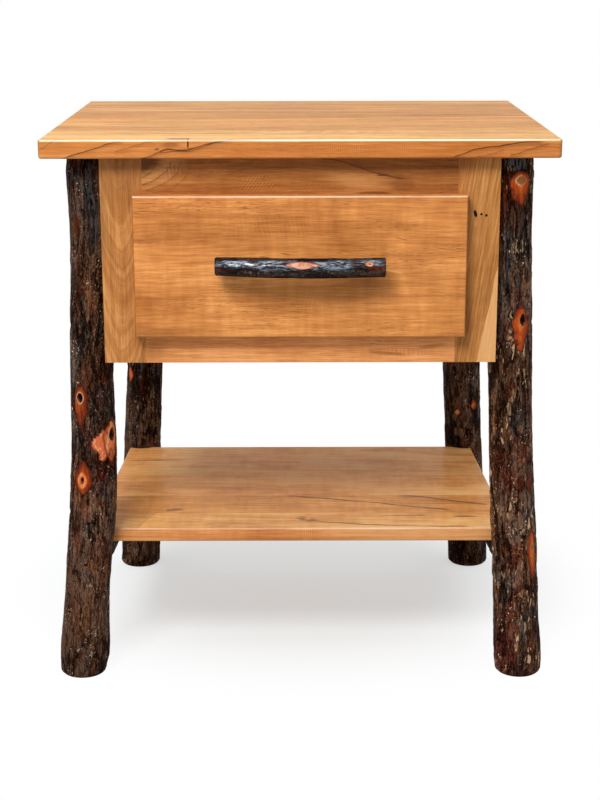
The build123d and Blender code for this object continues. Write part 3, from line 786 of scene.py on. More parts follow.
def bark_relief(turn, up, style):
    """The bark's height in shares of the relief, about -1.9 to 0.6, and where chips stand out."""
    seed = style.seed * SEED_STEP
    drift = rough(turn, up, 5, 70.0, 3, seed + 1)
    shake = rough(turn, up, 24, 12.0, 2, seed + 2)
    bent = turn + 0.020 * drift + 0.006 * shake
    lump = rough(turn, up, 3, 70.0, 3, seed + 3)
    coarse = eased_step(rough(turn, up, 4, 60.0, 2, seed + 7), -0.5, 0.3)
    coarse = coarse * (1 - 0.75 * smoothed(up, style))
    deep = crack_lines(rough(bent, up + 8 * shake, style.deep_round, style.deep_length, 2, seed + 4), 0.085)
    ridge_noise = rough(bent, up + 4 * shake, style.ridge_round, style.ridge_length, 2, seed + 5)
    ridge = crack_lines(ridge_noise, 0.16)
    fibre = rough(bent, up, style.fibre_round, style.fibre_length, 2, seed + 6)
    inside, tone = plates(bent, up + 3 * shake, style.chip_round, style.chip_length, seed + 8)
    chip_field = eased_step(rough(turn, up, 6, 45.0, 2, seed + 9), -0.15, 0.3) * (0.25 + 0.75 * coarse)
    chips = eased_step(tone, 0.62, 0.8) * eased_step(inside, 0.05, 0.3) * chip_field
    height = style.lump * lump
    height -= style.deep * deep * (0.5 + 0.5 * coarse)
    height -= style.ridge * ridge * (0.35 + 0.65 * coarse)
    height += 0.5 * style.ridge * ridge_noise
    height += style.fibre * fibre * (0.5 + 0.5 * coarse)
    height += style.chip * chips
    return np.clip(height - 0.15, -1.9, 0.6), chips


def ranked(values):
    """The values as shares of the area that lies below them, from 0 to 1."""
    levels = np.linspace(0, 1, 65)
    return np.interp(values, np.quantile(values, levels), levels)


def lay_knots(knots, turn, up, radius, relief, seed):
    """Cuts the knots into the relief and returns it with a layer for each part of them."""
    names = ("bare", "inner", "heart", "ring", "core", "pit", "blush", "rim", "stain")
    marks = {name: np.zeros_like(turn) for name in names}
    jag = rough(turn, up, 26, 7.0, 3, seed + 31)
    for knot in knots:
        gap = (turn - knot.bearing / 360 + 0.5) % 1.0 - 0.5
        wide = gap * 2 * math.pi * radius / MM
        high = up - knot.height
        patch_wide = np.abs(wide - knot.slip[0]) / knot.wide
        patch_high = high - knot.slip[1]
        patch_high = np.where(patch_high > 0, patch_high / knot.above, -patch_high / knot.below)
        power = knot.corner
        span = (patch_wide**power + patch_high**power) ** (1 / power)
        shaken = span + knot.ragged * jag
        if knot.stain:
            marks["stain"] = np.maximum(marks["stain"], knot.stain * eased_step(shaken, 1.1, 0.7))
            continue
        bare = eased_step(shaken, 1.06, 0.94)
        hole = knot.pit if knot.pit[0] else knot.eye
        hole_span = (np.abs(wide / hole[0]) ** 1.6 + np.abs(high / hole[1]) ** 1.6) ** (1 / 1.6)
        hole_span = hole_span + 0.08 * jag
        ring = np.exp(-(((hole_span - 1.42) / 0.17) ** 2)) * knot.ring
        pit = core = hollow = heart = np.zeros_like(turn)
        if knot.pit[0]:
            pit = eased_step(hole_span, 1.28, 1.08)
            hollow = eased_step(hole_span, 1.15, 0.8)
        elif knot.ring:
            core = eased_step(hole_span, 1.35, 1.1)
            ring = ring * (0.3 + 0.7 * eased_step(jag, -0.35, 0.1))
        if knot.heart[0]:
            heart_span = np.abs(wide / knot.heart[0]) ** 1.5 + np.abs(high / knot.heart[1]) ** 1.5
            heart = eased_step(heart_span + 0.15 * jag, 1.12, 0.9)
        rim = np.exp(-(((shaken - 0.98) / 0.09) ** 2))
        floor = -0.55 - 0.35 * np.clip(1 - span, 0, 1) + 0.06 * jag
        relief = relief * (1 - bare) + bare * floor
        relief = relief + knot.swell * np.exp(-((span / 1.15) ** 2)) * np.clip(1.4 - span, 0, 1)
        relief = relief + 0.5 * ring - 0.2 * heart - 4.2 * hollow
        inner = bare * np.clip(1.05 - shaken, 0, 1) * knot.glow
        layers = (bare, inner, heart, ring, core, pit, bare * knot.blush, rim)
        for name, layer in zip(names, layers):
            marks[name] = np.maximum(marks[name], layer)
    return relief, marks


def gloss_and_sheen_patches(style, turn, up):
    """Glossy patches with fine grooves and a painted sheen, from 0 to 1."""
    share = np.zeros_like(turn)
    shake = rough(turn, up, 12, 22.0, 3, style.seed * SEED_STEP + 41)
    for bearing, height, wide, long in style.gloss_and_sheen:
        gap = ((turn - bearing / 360 + 0.5) % 1.0 - 0.5) * 360 / wide
        span = np.hypot(gap, (up - height) / long) + 0.6 * shake
        share = np.maximum(share, eased_step(span, 1.15, 0.5))
    return share


def spread(values, rows, columns):
    """Values blurred over the neighbouring rows and columns, closed round the pole."""
    total = np.zeros_like(values)
    padded = np.pad(values, ((rows, rows), (0, 0)), mode="edge")
    for shift in range(2 * rows + 1):
        total += padded[shift : shift + values.shape[0]]
    total /= 2 * rows + 1
    around = np.zeros_like(values)
    for shift in range(-columns, columns + 1):
        around += np.roll(total, shift, axis=1)
    return around / (2 * columns + 1)


def row_stations(length, count, edges):
    """Evenly spaced stations along a pole, with one just to each side of every edge."""
    stations = list(np.linspace(0, length, count))
    for edge in edges:
        for place in (edge - EDGE_GAP, edge + EDGE_GAP):
            nearest = min(range(1, count - 1), key=lambda i: abs(stations[i] - place))
            stations[nearest] = place
            stations.sort()
    return np.array(stations)


def pole_rings(pole, rows, edges):
    """Stations along a pole, with the radius and the centre of the ring at each."""
    stations = row_stations(pole.length, rows, edges)
    radius = np.interp(stations, pole.stations, pole.radii)
    centre = np.column_stack([np.interp(stations, pole.stations, column) for column in pole.centres.T])
    centre += np.outer(stations - (centre - pole.start) @ pole.along, pole.along)
    return stations, radius, centre


def pole_mesh(
    name,
    pole,
    tree,
    rows,
    columns,
    style,
    knots,
    edges=(),
    foot=0.0,
    relief_size=MM,
    seats=True,
):
    """The pole as one closed mesh with the bark's relief, its cuts, knots and sawn ends."""
    stations, radius, centre = pole_rings(pole, rows, edges)
    turns = np.linspace(0, 1, columns, endpoint=False)
    angle = turns * 2 * math.pi
    directions = np.outer(np.cos(angle), pole.front) + np.outer(np.sin(angle), pole.side)
    inside = np.clip(stations, SKIN, pole.length - SKIN) - stations
    solid = np.array([outer_radius(tree, c + pole.along * s, directions) for c, s in zip(centre, inside)])
    full = np.repeat(radius[:, None], columns, axis=1)
    drop = full - solid
    drop[stations < max(foot, SKIN) + FOOT_MARGIN] = 0
    if not seats:
        drop[:] = 0
    cut = (drop > SEAT_DEPTH).astype(float)
    turn, up = np.meshgrid(turns, stations / MM)
    relief, chips = bark_relief(turn, up, style)
    crest = ranked(relief)
    relief, marks = lay_knots(knots, turn, up, full, relief, style.seed * SEED_STEP)
    keep = 1 - eased_step(spread(cut, 1, 2), 0.0, 0.45)
    end_gap = np.minimum(stations, pole.length - stations)[:, None]
    keep = keep * eased_step(end_gap, 0.0, END_FADE)
    height = np.minimum(relief * relief_size, HIGHEST_RELIEF) * keep
    if foot:
        bevel = np.clip(foot - stations, 0, foot)[:, None]
    else:
        bevel = np.clip(END_BEVEL - end_gap, 0, 1)
    reach = np.where(cut > 0, np.minimum(solid, full), full + height - bevel)
    points = centre[:, None, :] + reach[:, :, None] * directions[None, :, :]
    low, high = (np.array(corner) for corner in cad_bounds)
    points = np.clip(points, low, high)
    tone = np.interp(up, np.linspace(0, pole.length / MM, len(style.tone)), style.tone)
    layers = {
        "crest": crest,
        "chip": chips,
        "cut": cut,
        "tone": tone * (1 - 0.25 * smoothed(up, style)),
        "gloss_and_sheen": gloss_and_sheen_patches(style, turn, up),
        "flaky": np.full_like(turn, style.flaky),
        **marks,
    }
    return closed_mesh(name, points, centre, layers, pole)


def closed_mesh(name, points, centre, layers, pole):
    """Joins rings of points into a tube, closes its ends and keeps each layer as an attribute."""
    rows, columns = points.shape[:2]
    vertices = [points.reshape(-1, 3)]
    values = {key: [layer.reshape(-1)] for key, layer in layers.items()}
    index = np.arange(rows * columns).reshape(rows, columns)
    following = np.roll(index, -1, axis=1)
    quads = [np.stack([index[:-1], following[:-1], following[1:], index[1:]], axis=-1).reshape(-1, 4)]
    triangles = []
    count = rows * columns
    for row, inward in ((0, -1), (rows - 1, 1)):
        rim = index[row]
        for ring in range(1, CAP_RINGS):
            share = 1 - ring / CAP_RINGS
            vertices.append(centre[row] + (points[row] - centre[row]) * share)
            new = np.arange(count, count + columns)
            count += columns
            quads.append(np.stack([rim, new, np.roll(new, -1), np.roll(rim, -1)], axis=-1)[:, ::-inward])
            rim = new
            for key in values:
                values[key].append(np.full(columns, 1.0 if key == "cut" else 0.0))
        vertices.append(centre[row][None])
        tip = np.full(columns, count)
        count += 1
        triangles.append(np.stack([rim, tip, np.roll(rim, -1)], axis=-1)[:, ::-inward])
        for key in values:
            values[key].append(np.array([1.0 if key == "cut" else 0.0]))
    quads = np.concatenate(quads)
    triangles = np.concatenate(triangles)
    if np.cross(pole.front, pole.side).dot(pole.along) < 0:
        quads, triangles = quads[:, ::-1], triangles[:, ::-1]
    mesh = bpy.data.meshes.new(name)
    mesh.from_pydata(np.concatenate(vertices).tolist(), [], quads.tolist() + triangles.tolist())
    mesh.validate()
    mesh.shade_smooth()
    for key, parts in values.items():
        attribute = mesh.attributes.new(key, "FLOAT", "POINT")
        attribute.data.foreach_set("value", np.concatenate(parts).astype(np.float32))
    return placed(name, mesh)


class BarkLook(NamedTuple):
    """How one kind of pole looks."""

    axis: str  # the pole's run: its fibres are long that way
    end_wood: tuple
    dim: float = 1.0  # darkens the bark
    cool: float = 0.0  # how grey the bark is
    wet: tuple = (0.0, 0.6)  # the clear coat's share off and on the glints
    relief: float = 2.6 * MM
    flesh: tuple = ((0.78, 0.17, 0.058), (0.92, 0.37, 0.17))  # the blushing shaved wood
    painted_sheen: tuple = ((0.006, 0.005, 0.005), (0.044, 0.042, 0.044))  # painted sheen, dark to bright, on the glossy patches
    groove: float = 240.0  # fine grooves in a metre on the glossy patches


CRACK_BEND = (0.008, 0.008, 0.008)  # how far cracks wander, in metres
GREY_SHIFT = (3.1, 1.7, 0.9)  # read the same noise elsewhere, so zones don't follow each other
RUST_SHIFT = (0.7, 2.3, 4.1)
FLECK_SHIFT = (1.9, 0.4, 2.7)
CREST_WEIGHT = 0.56  # the crests' share in how high a place lies
COOL_PLATE = 0.034  # the greys that cool bark is drawn towards
COOL_CREST = 0.11
GREY_PLATE = (0.056, 0.041, 0.034)
RED_PLATE = (0.092, 0.018, 0.009)
RUSTY_CREST = (0.22, 0.085, 0.034)
RED_CREST = (0.125, 0.036, 0.017)
RUST = (0.30, 0.115, 0.045)
# painted highlight along the ridges' flanks
RIDGE_HIGHLIGHT = (0.34, 0.215, 0.125)
CHIP = ((0.16, 0.08, 0.04), (0.44, 0.27, 0.14))
SLIVER = (0.48, 0.31, 0.17)
# pale flecks, partly painted glints of the clear coat
FLECK_AND_GLINT = ((0.66, 0.34, 0.14), (0.82, 0.70, 0.56))
STAIN = ((0.028, 0.005, 0.002), (0.125, 0.025, 0.010))
GLOWING_STAIN = ((0.035, 0.005, 0.0015), (0.15, 0.026, 0.004))
SHAVED_EDGE = (0.075, 0.010, 0.0035)
SHAVED_DARK = (0.13, 0.016, 0.003)
SHAVED_BRIGHT = (0.78, 0.19, 0.028)
SALMON_DARK = (0.36, 0.050, 0.018)
VEIN = (0.15, 0.020, 0.004)
KNOT_RIM = (0.10, 0.014, 0.003)
KNOT_HEART = ((0.84, 0.19, 0.04), (0.92, 0.31, 0.10))
KNOT_CORE = (0.29, 0.12, 0.038)
KNOT_RING = (0.86, 0.50, 0.23)
KNOT_PIT = (0.003, 0.0015, 0.001)


class BarkFinish(Finish):
    """Dark clear coated bark with shaved patches, knots, sawn ends and painted sheen and highlights."""

    def __init__(self, name, bark, look):
        super().__init__(name)
        self.bark = bark
        self.look = look
        straight = self.place()
        bend = self.node("TexNoise", {"Vector": straight, "Scale": 60.0, "Detail": 2.0}).outputs["Color"]
        bend = self.vector("SUBTRACT", bend, (0.5, 0.5, 0.5))
        bend = self.vector("MULTIPLY", bend, CRACK_BEND)
        self.bent = self.vector("ADD", straight, bend)
        self.long = self.stretched(0.15)
        self.loose = self.stretched(0.45)
        self.fibres = self.layer(self.long, 520.0, 3.0, 0.65)
        self.grit = self.layer(self.bent, 620.0, 2.0, 0.7)
        self.red_zone = self.layer(self.loose, 21.0, 3.0)
        self.grey_zone = self.layer(self.vector("ADD", self.loose, GREY_SHIFT), 27.0, 3.0)
        self.rust_zone = self.layer(self.vector("ADD", self.loose, RUST_SHIFT), 24.0)
        self.grooves = self.span(self.layer(self.long, look.groove, 3.0), 0.42, 0.60)
        self.crest = self.attribute("crest")
        self.gloss_and_sheen = self.attribute("gloss_and_sheen")
        self.flaky = self.attribute("flaky")
        self.stain = self.attribute("stain")
        self.bare = self.attribute("bare")
        self.level = self.levels()

    def stretched(self, share):
        """The bent place, counted slower along the pole, which draws the noise out that way."""
        slower = tuple(share if letter == self.look.axis else 1.0 for letter in "XYZ")
        return self.vector("MULTIPLY", self.bent, slower)

    def layer(self, where, repeats, detail=2.0, roughness=0.6):
        """Noise as rough as bark mostly is."""
        return self.noise(where, repeats, detail=detail, roughness=roughness)

    def dull(self, colour):
        """A colour darkened as this pole's bark is."""
        return tuple(self.look.dim * v for v in colour)

    def cooled(self, colour, grey):
        """A colour drawn towards a grey and darkened as this pole's bark is."""
        return self.dull(v * (1 - self.look.cool) + grey * self.look.cool for v in colour)

    def levels(self):
        """How high each place lies, from the bottom of the cracks to the crests."""
        cracks = self.span(self.gap(self.layer(self.long, 150.0, 3.0), 0.5), 0.005, 0.022, 1.0, 0.0)
        cracks = self.times(cracks, self.span(self.layer(self.loose, 60.0), 0.40, 0.56))
        split = self.span(self.gap(self.layer(self.long, 430.0), 0.5), 0.008, 0.05, 1.0, 0.0)
        level = self.times(self.crest, CREST_WEIGHT)
        level = self.plus(level, self.times(self.span(self.fibres, 0.3, 0.7), 0.34))
        level = self.plus(level, self.times(self.span(self.grit, 0.32, 0.68), 0.22))
        level = self.less(level, self.times(split, 0.26))
        return self.less(level, self.times(cracks, 0.5))

    def plates(self):
        """Cracks, plates and crests in their grey, red and rusty zones."""
        plate = self.cooled(self.bark.plate, COOL_PLATE)
        plate = self.mix(self.span(self.grey_zone, 0.50, 0.62), plate, self.dull(GREY_PLATE))
        plate = self.mix(self.span(self.red_zone, 0.52, 0.62, 0.0, 0.8), plate, self.dull(RED_PLATE))
        high = self.cooled(self.bark.crest, COOL_CREST)
        high = self.mix(self.span(self.rust_zone, 0.48, 0.60), high, self.dull(RUSTY_CREST))
        high = self.mix(self.span(self.red_zone, 0.54, 0.64), high, self.dull(RED_CREST))
        # Low places darken towards the fissure colour: partly the bark's own dark, partly painted shade in
        # its cracks.
        body = self.mix(self.span(self.level, 0.20, 0.56), tuple(self.bark.fissure), plate)
        return self.mix(self.span(self.level, 0.56, 0.92), body, high)

    def flecked(self, body):
        """Rust, painted ridge highlights, chips, slivers, and pale flecks partly painted as glints on the
        bark.
        """
        dim = self.look.dim
        rust = self.times(
            self.span(self.layer(self.bent, 190.0, 1.0), 0.60, 0.68),
            self.span(self.rust_zone, 0.46, 0.58),
            self.span(self.level, 0.3, 0.6),
            0.8 * dim,
        )
        body = self.mix(rust, body, RUST)
        # Painted highlights along the ridges' flanks.
        edges = self.times(
            self.span(self.gap(self.crest, 0.74), 0.07, 0.01),
            self.span(self.layer(self.long, 105.0), 0.52, 0.62),
            self.span(self.fibres, 0.42, 0.6),
            0.75 * dim,
        )
        body = self.mix(edges, body, RIDGE_HIGHLIGHT)
        chips = self.times(
            self.span(self.attribute("chip"), 0.35, 0.6),
            self.span(self.layer(self.long, 210.0, 3.0), 0.45, 0.56),
            self.flaky,
            0.9 * dim,
        )
        body = self.mix(chips, body, self.mix(self.span(self.fibres, 0.35, 0.6), *CHIP))
        slivers = self.times(
            self.span(self.layer(self.long, 330.0, 1.0), 0.62, 0.67),
            self.span(self.layer(self.bent, 26.0), 0.52, 0.62),
            self.flaky,
            dim,
        )
        body = self.mix(slivers, body, SLIVER)
        # Pale flecks, partly painted glints of the clear coat.
        elsewhere = self.vector("ADD", self.bent, FLECK_SHIFT)
        flecks_and_glints = self.times(
            self.span(self.layer(self.bent, 360.0, 1.0), 0.64, 0.69),
            self.span(self.layer(elsewhere, 34.0), 0.47, 0.62),
            self.span(self.level, 0.3, 0.5),
            dim,
        )
        tint = self.mix(self.span(self.layer(self.bent, 75.0), 0.44, 0.56), *FLECK_AND_GLINT)
        return self.mix(flecks_and_glints, body, tint)

    def stained(self, body):
        """The red stains that soak some of the bark's cracks."""
        colour = self.mix(self.span(self.level, 0.25, 0.75), *STAIN)
        glow = self.mix(self.span(self.fibres, 0.35, 0.65), *GLOWING_STAIN)
        colour = self.mix(self.span(self.stain, 0.55, 0.95), colour, glow)
        soaked = self.times(
            self.span(self.stain, 0.05, 0.85, 0.0, 0.9),
            self.span(self.layer(self.long, 150.0, 3.0), 0.40, 0.54, 0.25, 1.0),
            self.span(self.level, 0.05, 0.35, 0.35, 1.0),
        )
        return self.mix(soaked, body, colour)

    def shaved(self):
        """The wood under the bark, orange or blushing salmon, darker towards the rim."""
        cloud = self.less(self.layer(self.long, 170.0, 4.0, 0.65), 0.5)
        veins = self.layer(self.long, 420.0)
        depth = self.plus(self.attribute("inner"), self.times(cloud, 1.5))
        warm = self.mix(self.span(depth, -0.05, 0.5), SHAVED_DARK, tuple(self.bark.bare))
        warm = self.mix(self.span(depth, 0.45, 0.95), warm, SHAVED_BRIGHT)
        salmon = self.mix(self.span(depth, -0.1, 0.3), SALMON_DARK, self.look.flesh[0])
        salmon = self.mix(self.span(self.layer(self.loose, 230.0), 0.48, 0.62), salmon, self.look.flesh[1])
        blush = self.span(self.attribute("blush"), 0.25, 0.8)
        wood = self.mix(blush, warm, salmon)
        dark_veins = self.times(self.span(veins, 0.46, 0.36, 0.0, 0.6), self.span(blush, 0.0, 1.0, 1.0, 0.2))
        wood = self.mix(dark_veins, wood, VEIN)
        wood = self.mix(self.times(self.attribute("rim"), 0.8), wood, KNOT_RIM)
        heart = self.mix(self.span(veins, 0.42, 0.6), *KNOT_HEART)
        wood = self.mix(self.attribute("heart"), wood, heart)
        return self.mix(self.span(self.bare, 0.35, 0.95), SHAVED_EDGE, wood)

    def glints(self):
        """Where the clear coat stands thick enough to shine."""
        share = self.times(
            self.span(self.grit, 0.50, 0.62),
            self.span(self.level, 0.5, 0.75),
            self.span(self.grey_zone, 0.42, 0.58, 0.3, 1.0),
        )
        rubbed = self.times(self.gloss_and_sheen, self.grooves)
        for other in (self.times(self.bare, 0.3), self.times(self.stain, 0.15), rubbed):
            share = self.math("MAXIMUM", share, other)
        return share

    def fine_relief(self):
        """The bark's fine cracks, fibres and grooves, fainter where it is shaved."""
        relief = self.less(self.level, self.times(self.crest, CREST_WEIGHT))
        relief = self.plus(relief, self.times(self.gloss_and_sheen, self.grooves, 0.35))
        return self.times(relief, self.less(1.0, self.times(self.bare, 0.75)))

    def complete(self):
        """Joins bark, stains, knots and sawn ends into the material."""
        body = self.flecked(self.plates())
        # Painted sheen: a highlight drawn into the colour of the glossy patches.
        body = self.mix(self.times(self.gloss_and_sheen, 0.8), body, self.mix(self.grooves, *self.look.painted_sheen))
        body = self.stained(body)
        body = self.mix(1.0, body, self.attribute("tone"), "MULTIPLY")
        body = self.mix(self.span(self.bare, 0.12, 0.5), body, self.shaved())
        body = self.mix(self.times(self.attribute("core"), 0.85), body, KNOT_CORE)
        body = self.mix(self.times(self.attribute("ring"), 0.85), body, KNOT_RING)
        body = self.mix(self.attribute("pit"), body, KNOT_PIT)
        end_wood = self.look.end_wood
        sawn = self.mix(self.span(self.fibres, 0.3, 0.7), tuple(0.72 * v for v in end_wood), end_wood)
        body = self.mix(self.attribute("cut"), body, sawn)
        return self.done(
            {
                "Base Color": body,
                "Roughness": self.span(self.fibres, 0.3, 0.7, 0.5, 0.7),
                "Specular IOR Level": 0.02,
                "Coat Weight": self.span(self.glints(), 0.0, 1.0, *self.look.wet),
                "Coat Roughness": 0.18,
                "Normal": self.bump(self.fine_relief(), self.look.relief, 0.9),
            }
        )


# ---- Metal -------------------------------------------------------------------------------------
DULL_ZINC = (0.50, 0.50, 0.46)


def zinc_finish(name, zinc, axis):
    """Zinc plated steel with a drawn grain along one axis and faint dull blotches."""
    finish = Finish(name)
    place = finish.place()
    long = tuple(12.0 if letter == axis else 900.0 for letter in "XYZ")
    drawn = finish.noise(place, long, roughness=0.6)
    cloud = finish.noise(place, 55.0)
    zinc = tuple(zinc)
    colour = finish.mix(finish.span(drawn, 0.3, 0.7), tuple(0.8 * v for v in zinc), zinc)
    colour = finish.mix(finish.span(cloud, 0.45, 0.7, 0.0, 0.35), colour, DULL_ZINC)
    return finish.done(
        {
            "Base Color": colour,
            "Metallic": 1.0,
            "Roughness": finish.span(cloud, 0.3, 0.7, 0.26, 0.42),
            "Normal": finish.bump(drawn, 0.00005, 0.5),
        }
    )


# ---- The figure of each board ------------------------------------------------------------------
DARK = (0.075, 0.024, 0.008)
SHADE = (0.24, 0.075, 0.02)
HOLE = (0.006, 0.003, 0.002)
PALE = (0.90, 0.46, 0.17)
OLIVE = (0.27, 0.125, 0.042)

# The faces that marks lie on, in millimetres: how high the top and the shelf are, and where the edges,
# the face frame and the drawer front lie from front to back.
TOP_FACE = 692.0
TOP_EDGE = -232.8
SHELF_FACE = 188.0
SHELF_EDGE = -157.8
FRAME_FACE = -210.8
DRAWER_FACE = -230.2

TOP_BOARD = Grain(ring=9.0, band=12.0, fleck=0.3, deep_tone=(1.1, 1.35, 0.9))
SHELF_BOARD = Grain(ring=9.0, ring_depth=0.2, band=15.0, streak_depth=0.38, blotch_depth=0.9)

TOP_GRAIN = {
    "top_board_1": Grain(
        seed=1.0,
        heart=(40.0, -42.0),
        lean=(0.05, 0.17),
        ring=7.0,
        ring_depth=0.25,
        band=14.0,
        band_depth=1.35,
        streak_depth=0.6,
        fleck=0.35,
        bias=-0.12,
        rub=1.0,
        tone=(0.87, 1.12, 1.14),
        deep_tone=(1.1, 1.3, 1.0),
        marks=(
            Mark(
                (0.0, TOP_EDGE, 680.0), (420.0, 4.0, 22.0), (0.62, 0.115, 0.022), 0.48,
                soft=0.3, ragged=0.1,
            ),
            Mark(
                (-141.0, -222.0, TOP_FACE), (17.0, 9.5, 2.5), (0.11, 0.045, 0.02), 0.85,
                soft=0.4, ragged=0.3,
            ),
            Mark((-141.0, -221.0, TOP_FACE), (10.0, 4.5, 2.5), (0.40, 0.21, 0.10), 0.75, soft=0.6),
            Mark((-150.0, -230.0, 686.5), (17.0, 7.0, 4.6), SHADE, 0.6),
            Mark((-166.0, -230.0, 681.0), (5.0, 7.0, 2.6), DARK, 0.7, ragged=0.6),
            Mark((-130.0, -231.0, 687.5), (1.2, 7.0, 5.6), HOLE, 1.0, soft=0.3, ragged=0.3),
            Mark((-130.0, -227.0, TOP_FACE), (1.3, 8.0, 2.5), HOLE, 1.0, soft=0.3, ragged=0.3),
            Mark((-160.0, -205.0, TOP_FACE), (130.0, 16.0, 3.0), PALE, 0.5, soft=0.9),
        ),
        streaks=(
            Streak(
                "XZY", TOP_EDGE,
                (
                    (-190, 670.0), (-175, 673.0), (-156, 681.0), (-142, 680.2), (-129, 681.0),
                    (-112, 686.0), (-75, 692.0),
                ),
                1.2,
                strength=1.0, shade=0.35,
            ),
            Streak(
                "XZY", TOP_EDGE, ((-166, 676.5), (-150, 678.4), (-129, 679.0), (-116, 682.0), (-98, 688.5)),
                0.8,
                strength=0.8,
            ),
            Streak(
                "XZY", TOP_EDGE, ((-284, 669.5), (-269, 673.5), (-233, 684.0), (-203, 692.0)), 1.0,
                strength=0.85, shade=0.3,
            ),
            Streak(
                "XZY", TOP_EDGE, ((-217, 678.0), (-196, 684.0), (-168, 691.0)), 0.7,
                strength=0.5, shade=0.2,
            ),
            Streak("XZY", TOP_EDGE, ((-302, 681.0), (-294, 686.0), (-283, 692.0)), 0.7, strength=0.5),
            Streak(
                "XZY", TOP_EDGE,
                (
                    (176, 671.0), (198, 678.5), (213, 682.0), (233, 684.7), (251, 687.5), (265, 689.5),
                    (285, 688.9),
                ),
                1.0,
                strength=0.95, shade=0.35,
            ),
            Streak(
                "XZY", TOP_EDGE, ((243, 673.5), (261, 678.6), (277, 683.1), (290, 687.0)), 0.9,
                strength=0.6, shade=0.25,
            ),
            Streak(
                "XZY", TOP_EDGE, ((205, 671.5), (224, 675.0), (238, 680.0)), 0.7,
                strength=0.4, shade=0.2,
            ),
            Streak(
                "XZY", TOP_EDGE, ((272, 682.4), (285, 683.4), (304, 682.8)), 1.1, (0.36, 0.06, 0.015),
                strength=0.8,
            ),
            Streak(
                "XZY", TOP_EDGE, ((270, 676.8), (284, 678.0), (304, 679.0)), 0.7, (0.30, 0.07, 0.02),
                strength=0.5,
            ),
        ),
        curls=(
            Curl((0.0, TOP_EDGE, 681.0), (150.0, 4.0, 11.0), 2.3, 4.0, 0.26),
            Curl((90.0, TOP_EDGE, 681.0), (120.0, 4.0, 11.0), 1.9, -3.0, 0.22),
        ),
    ),
    "top_board_2": TOP_BOARD._replace(
        seed=2.0,
        heart=(-30.0, -60.0),
        lean=(0.03, 0.05),
        band_depth=1.6,
        tone=(0.80, 0.89, 0.69),
        marks=(
            Mark((-150.0, -85.0, TOP_FACE), (95.0, 14.0, 4.0), SHADE, 0.26, soft=0.8, ragged=0.4),
            Mark((30.0, -130.0, TOP_FACE), (70.0, 8.0, 4.0), SHADE, 0.2, soft=0.9, ragged=0.4),
        ),
    ),
    "top_board_3": TOP_BOARD._replace(
        seed=3.4,
        heart=(35.0, -80.0),
        lean=(-0.04, 0.05),
        band_depth=1.5,
        tone=(0.81, 0.86, 0.63),
        marks=(
            Mark((-165.0, 0.0, TOP_FACE), (75.0, 16.0, 4.0), SHADE, 0.24, soft=0.8, ragged=0.4),
            Mark((60.0, 40.0, TOP_FACE), (90.0, 12.0, 4.0), SHADE, 0.2, soft=0.9, ragged=0.4),
        ),
    ),
    "top_board_4": TOP_BOARD._replace(
        seed=4.7,
        heart=(-50.0, -60.0),
        lean=(0.03, -0.04),
        band_depth=1.8,
        tone=(0.73, 0.81, 0.64),
        back_tone=(1.22, 0.96, 1.26),
        marks=(Mark((15.0, 150.0, TOP_FACE), (115.0, 28.0, 4.0), SHADE, 0.26, soft=0.8, ragged=0.4),),
    ),
}

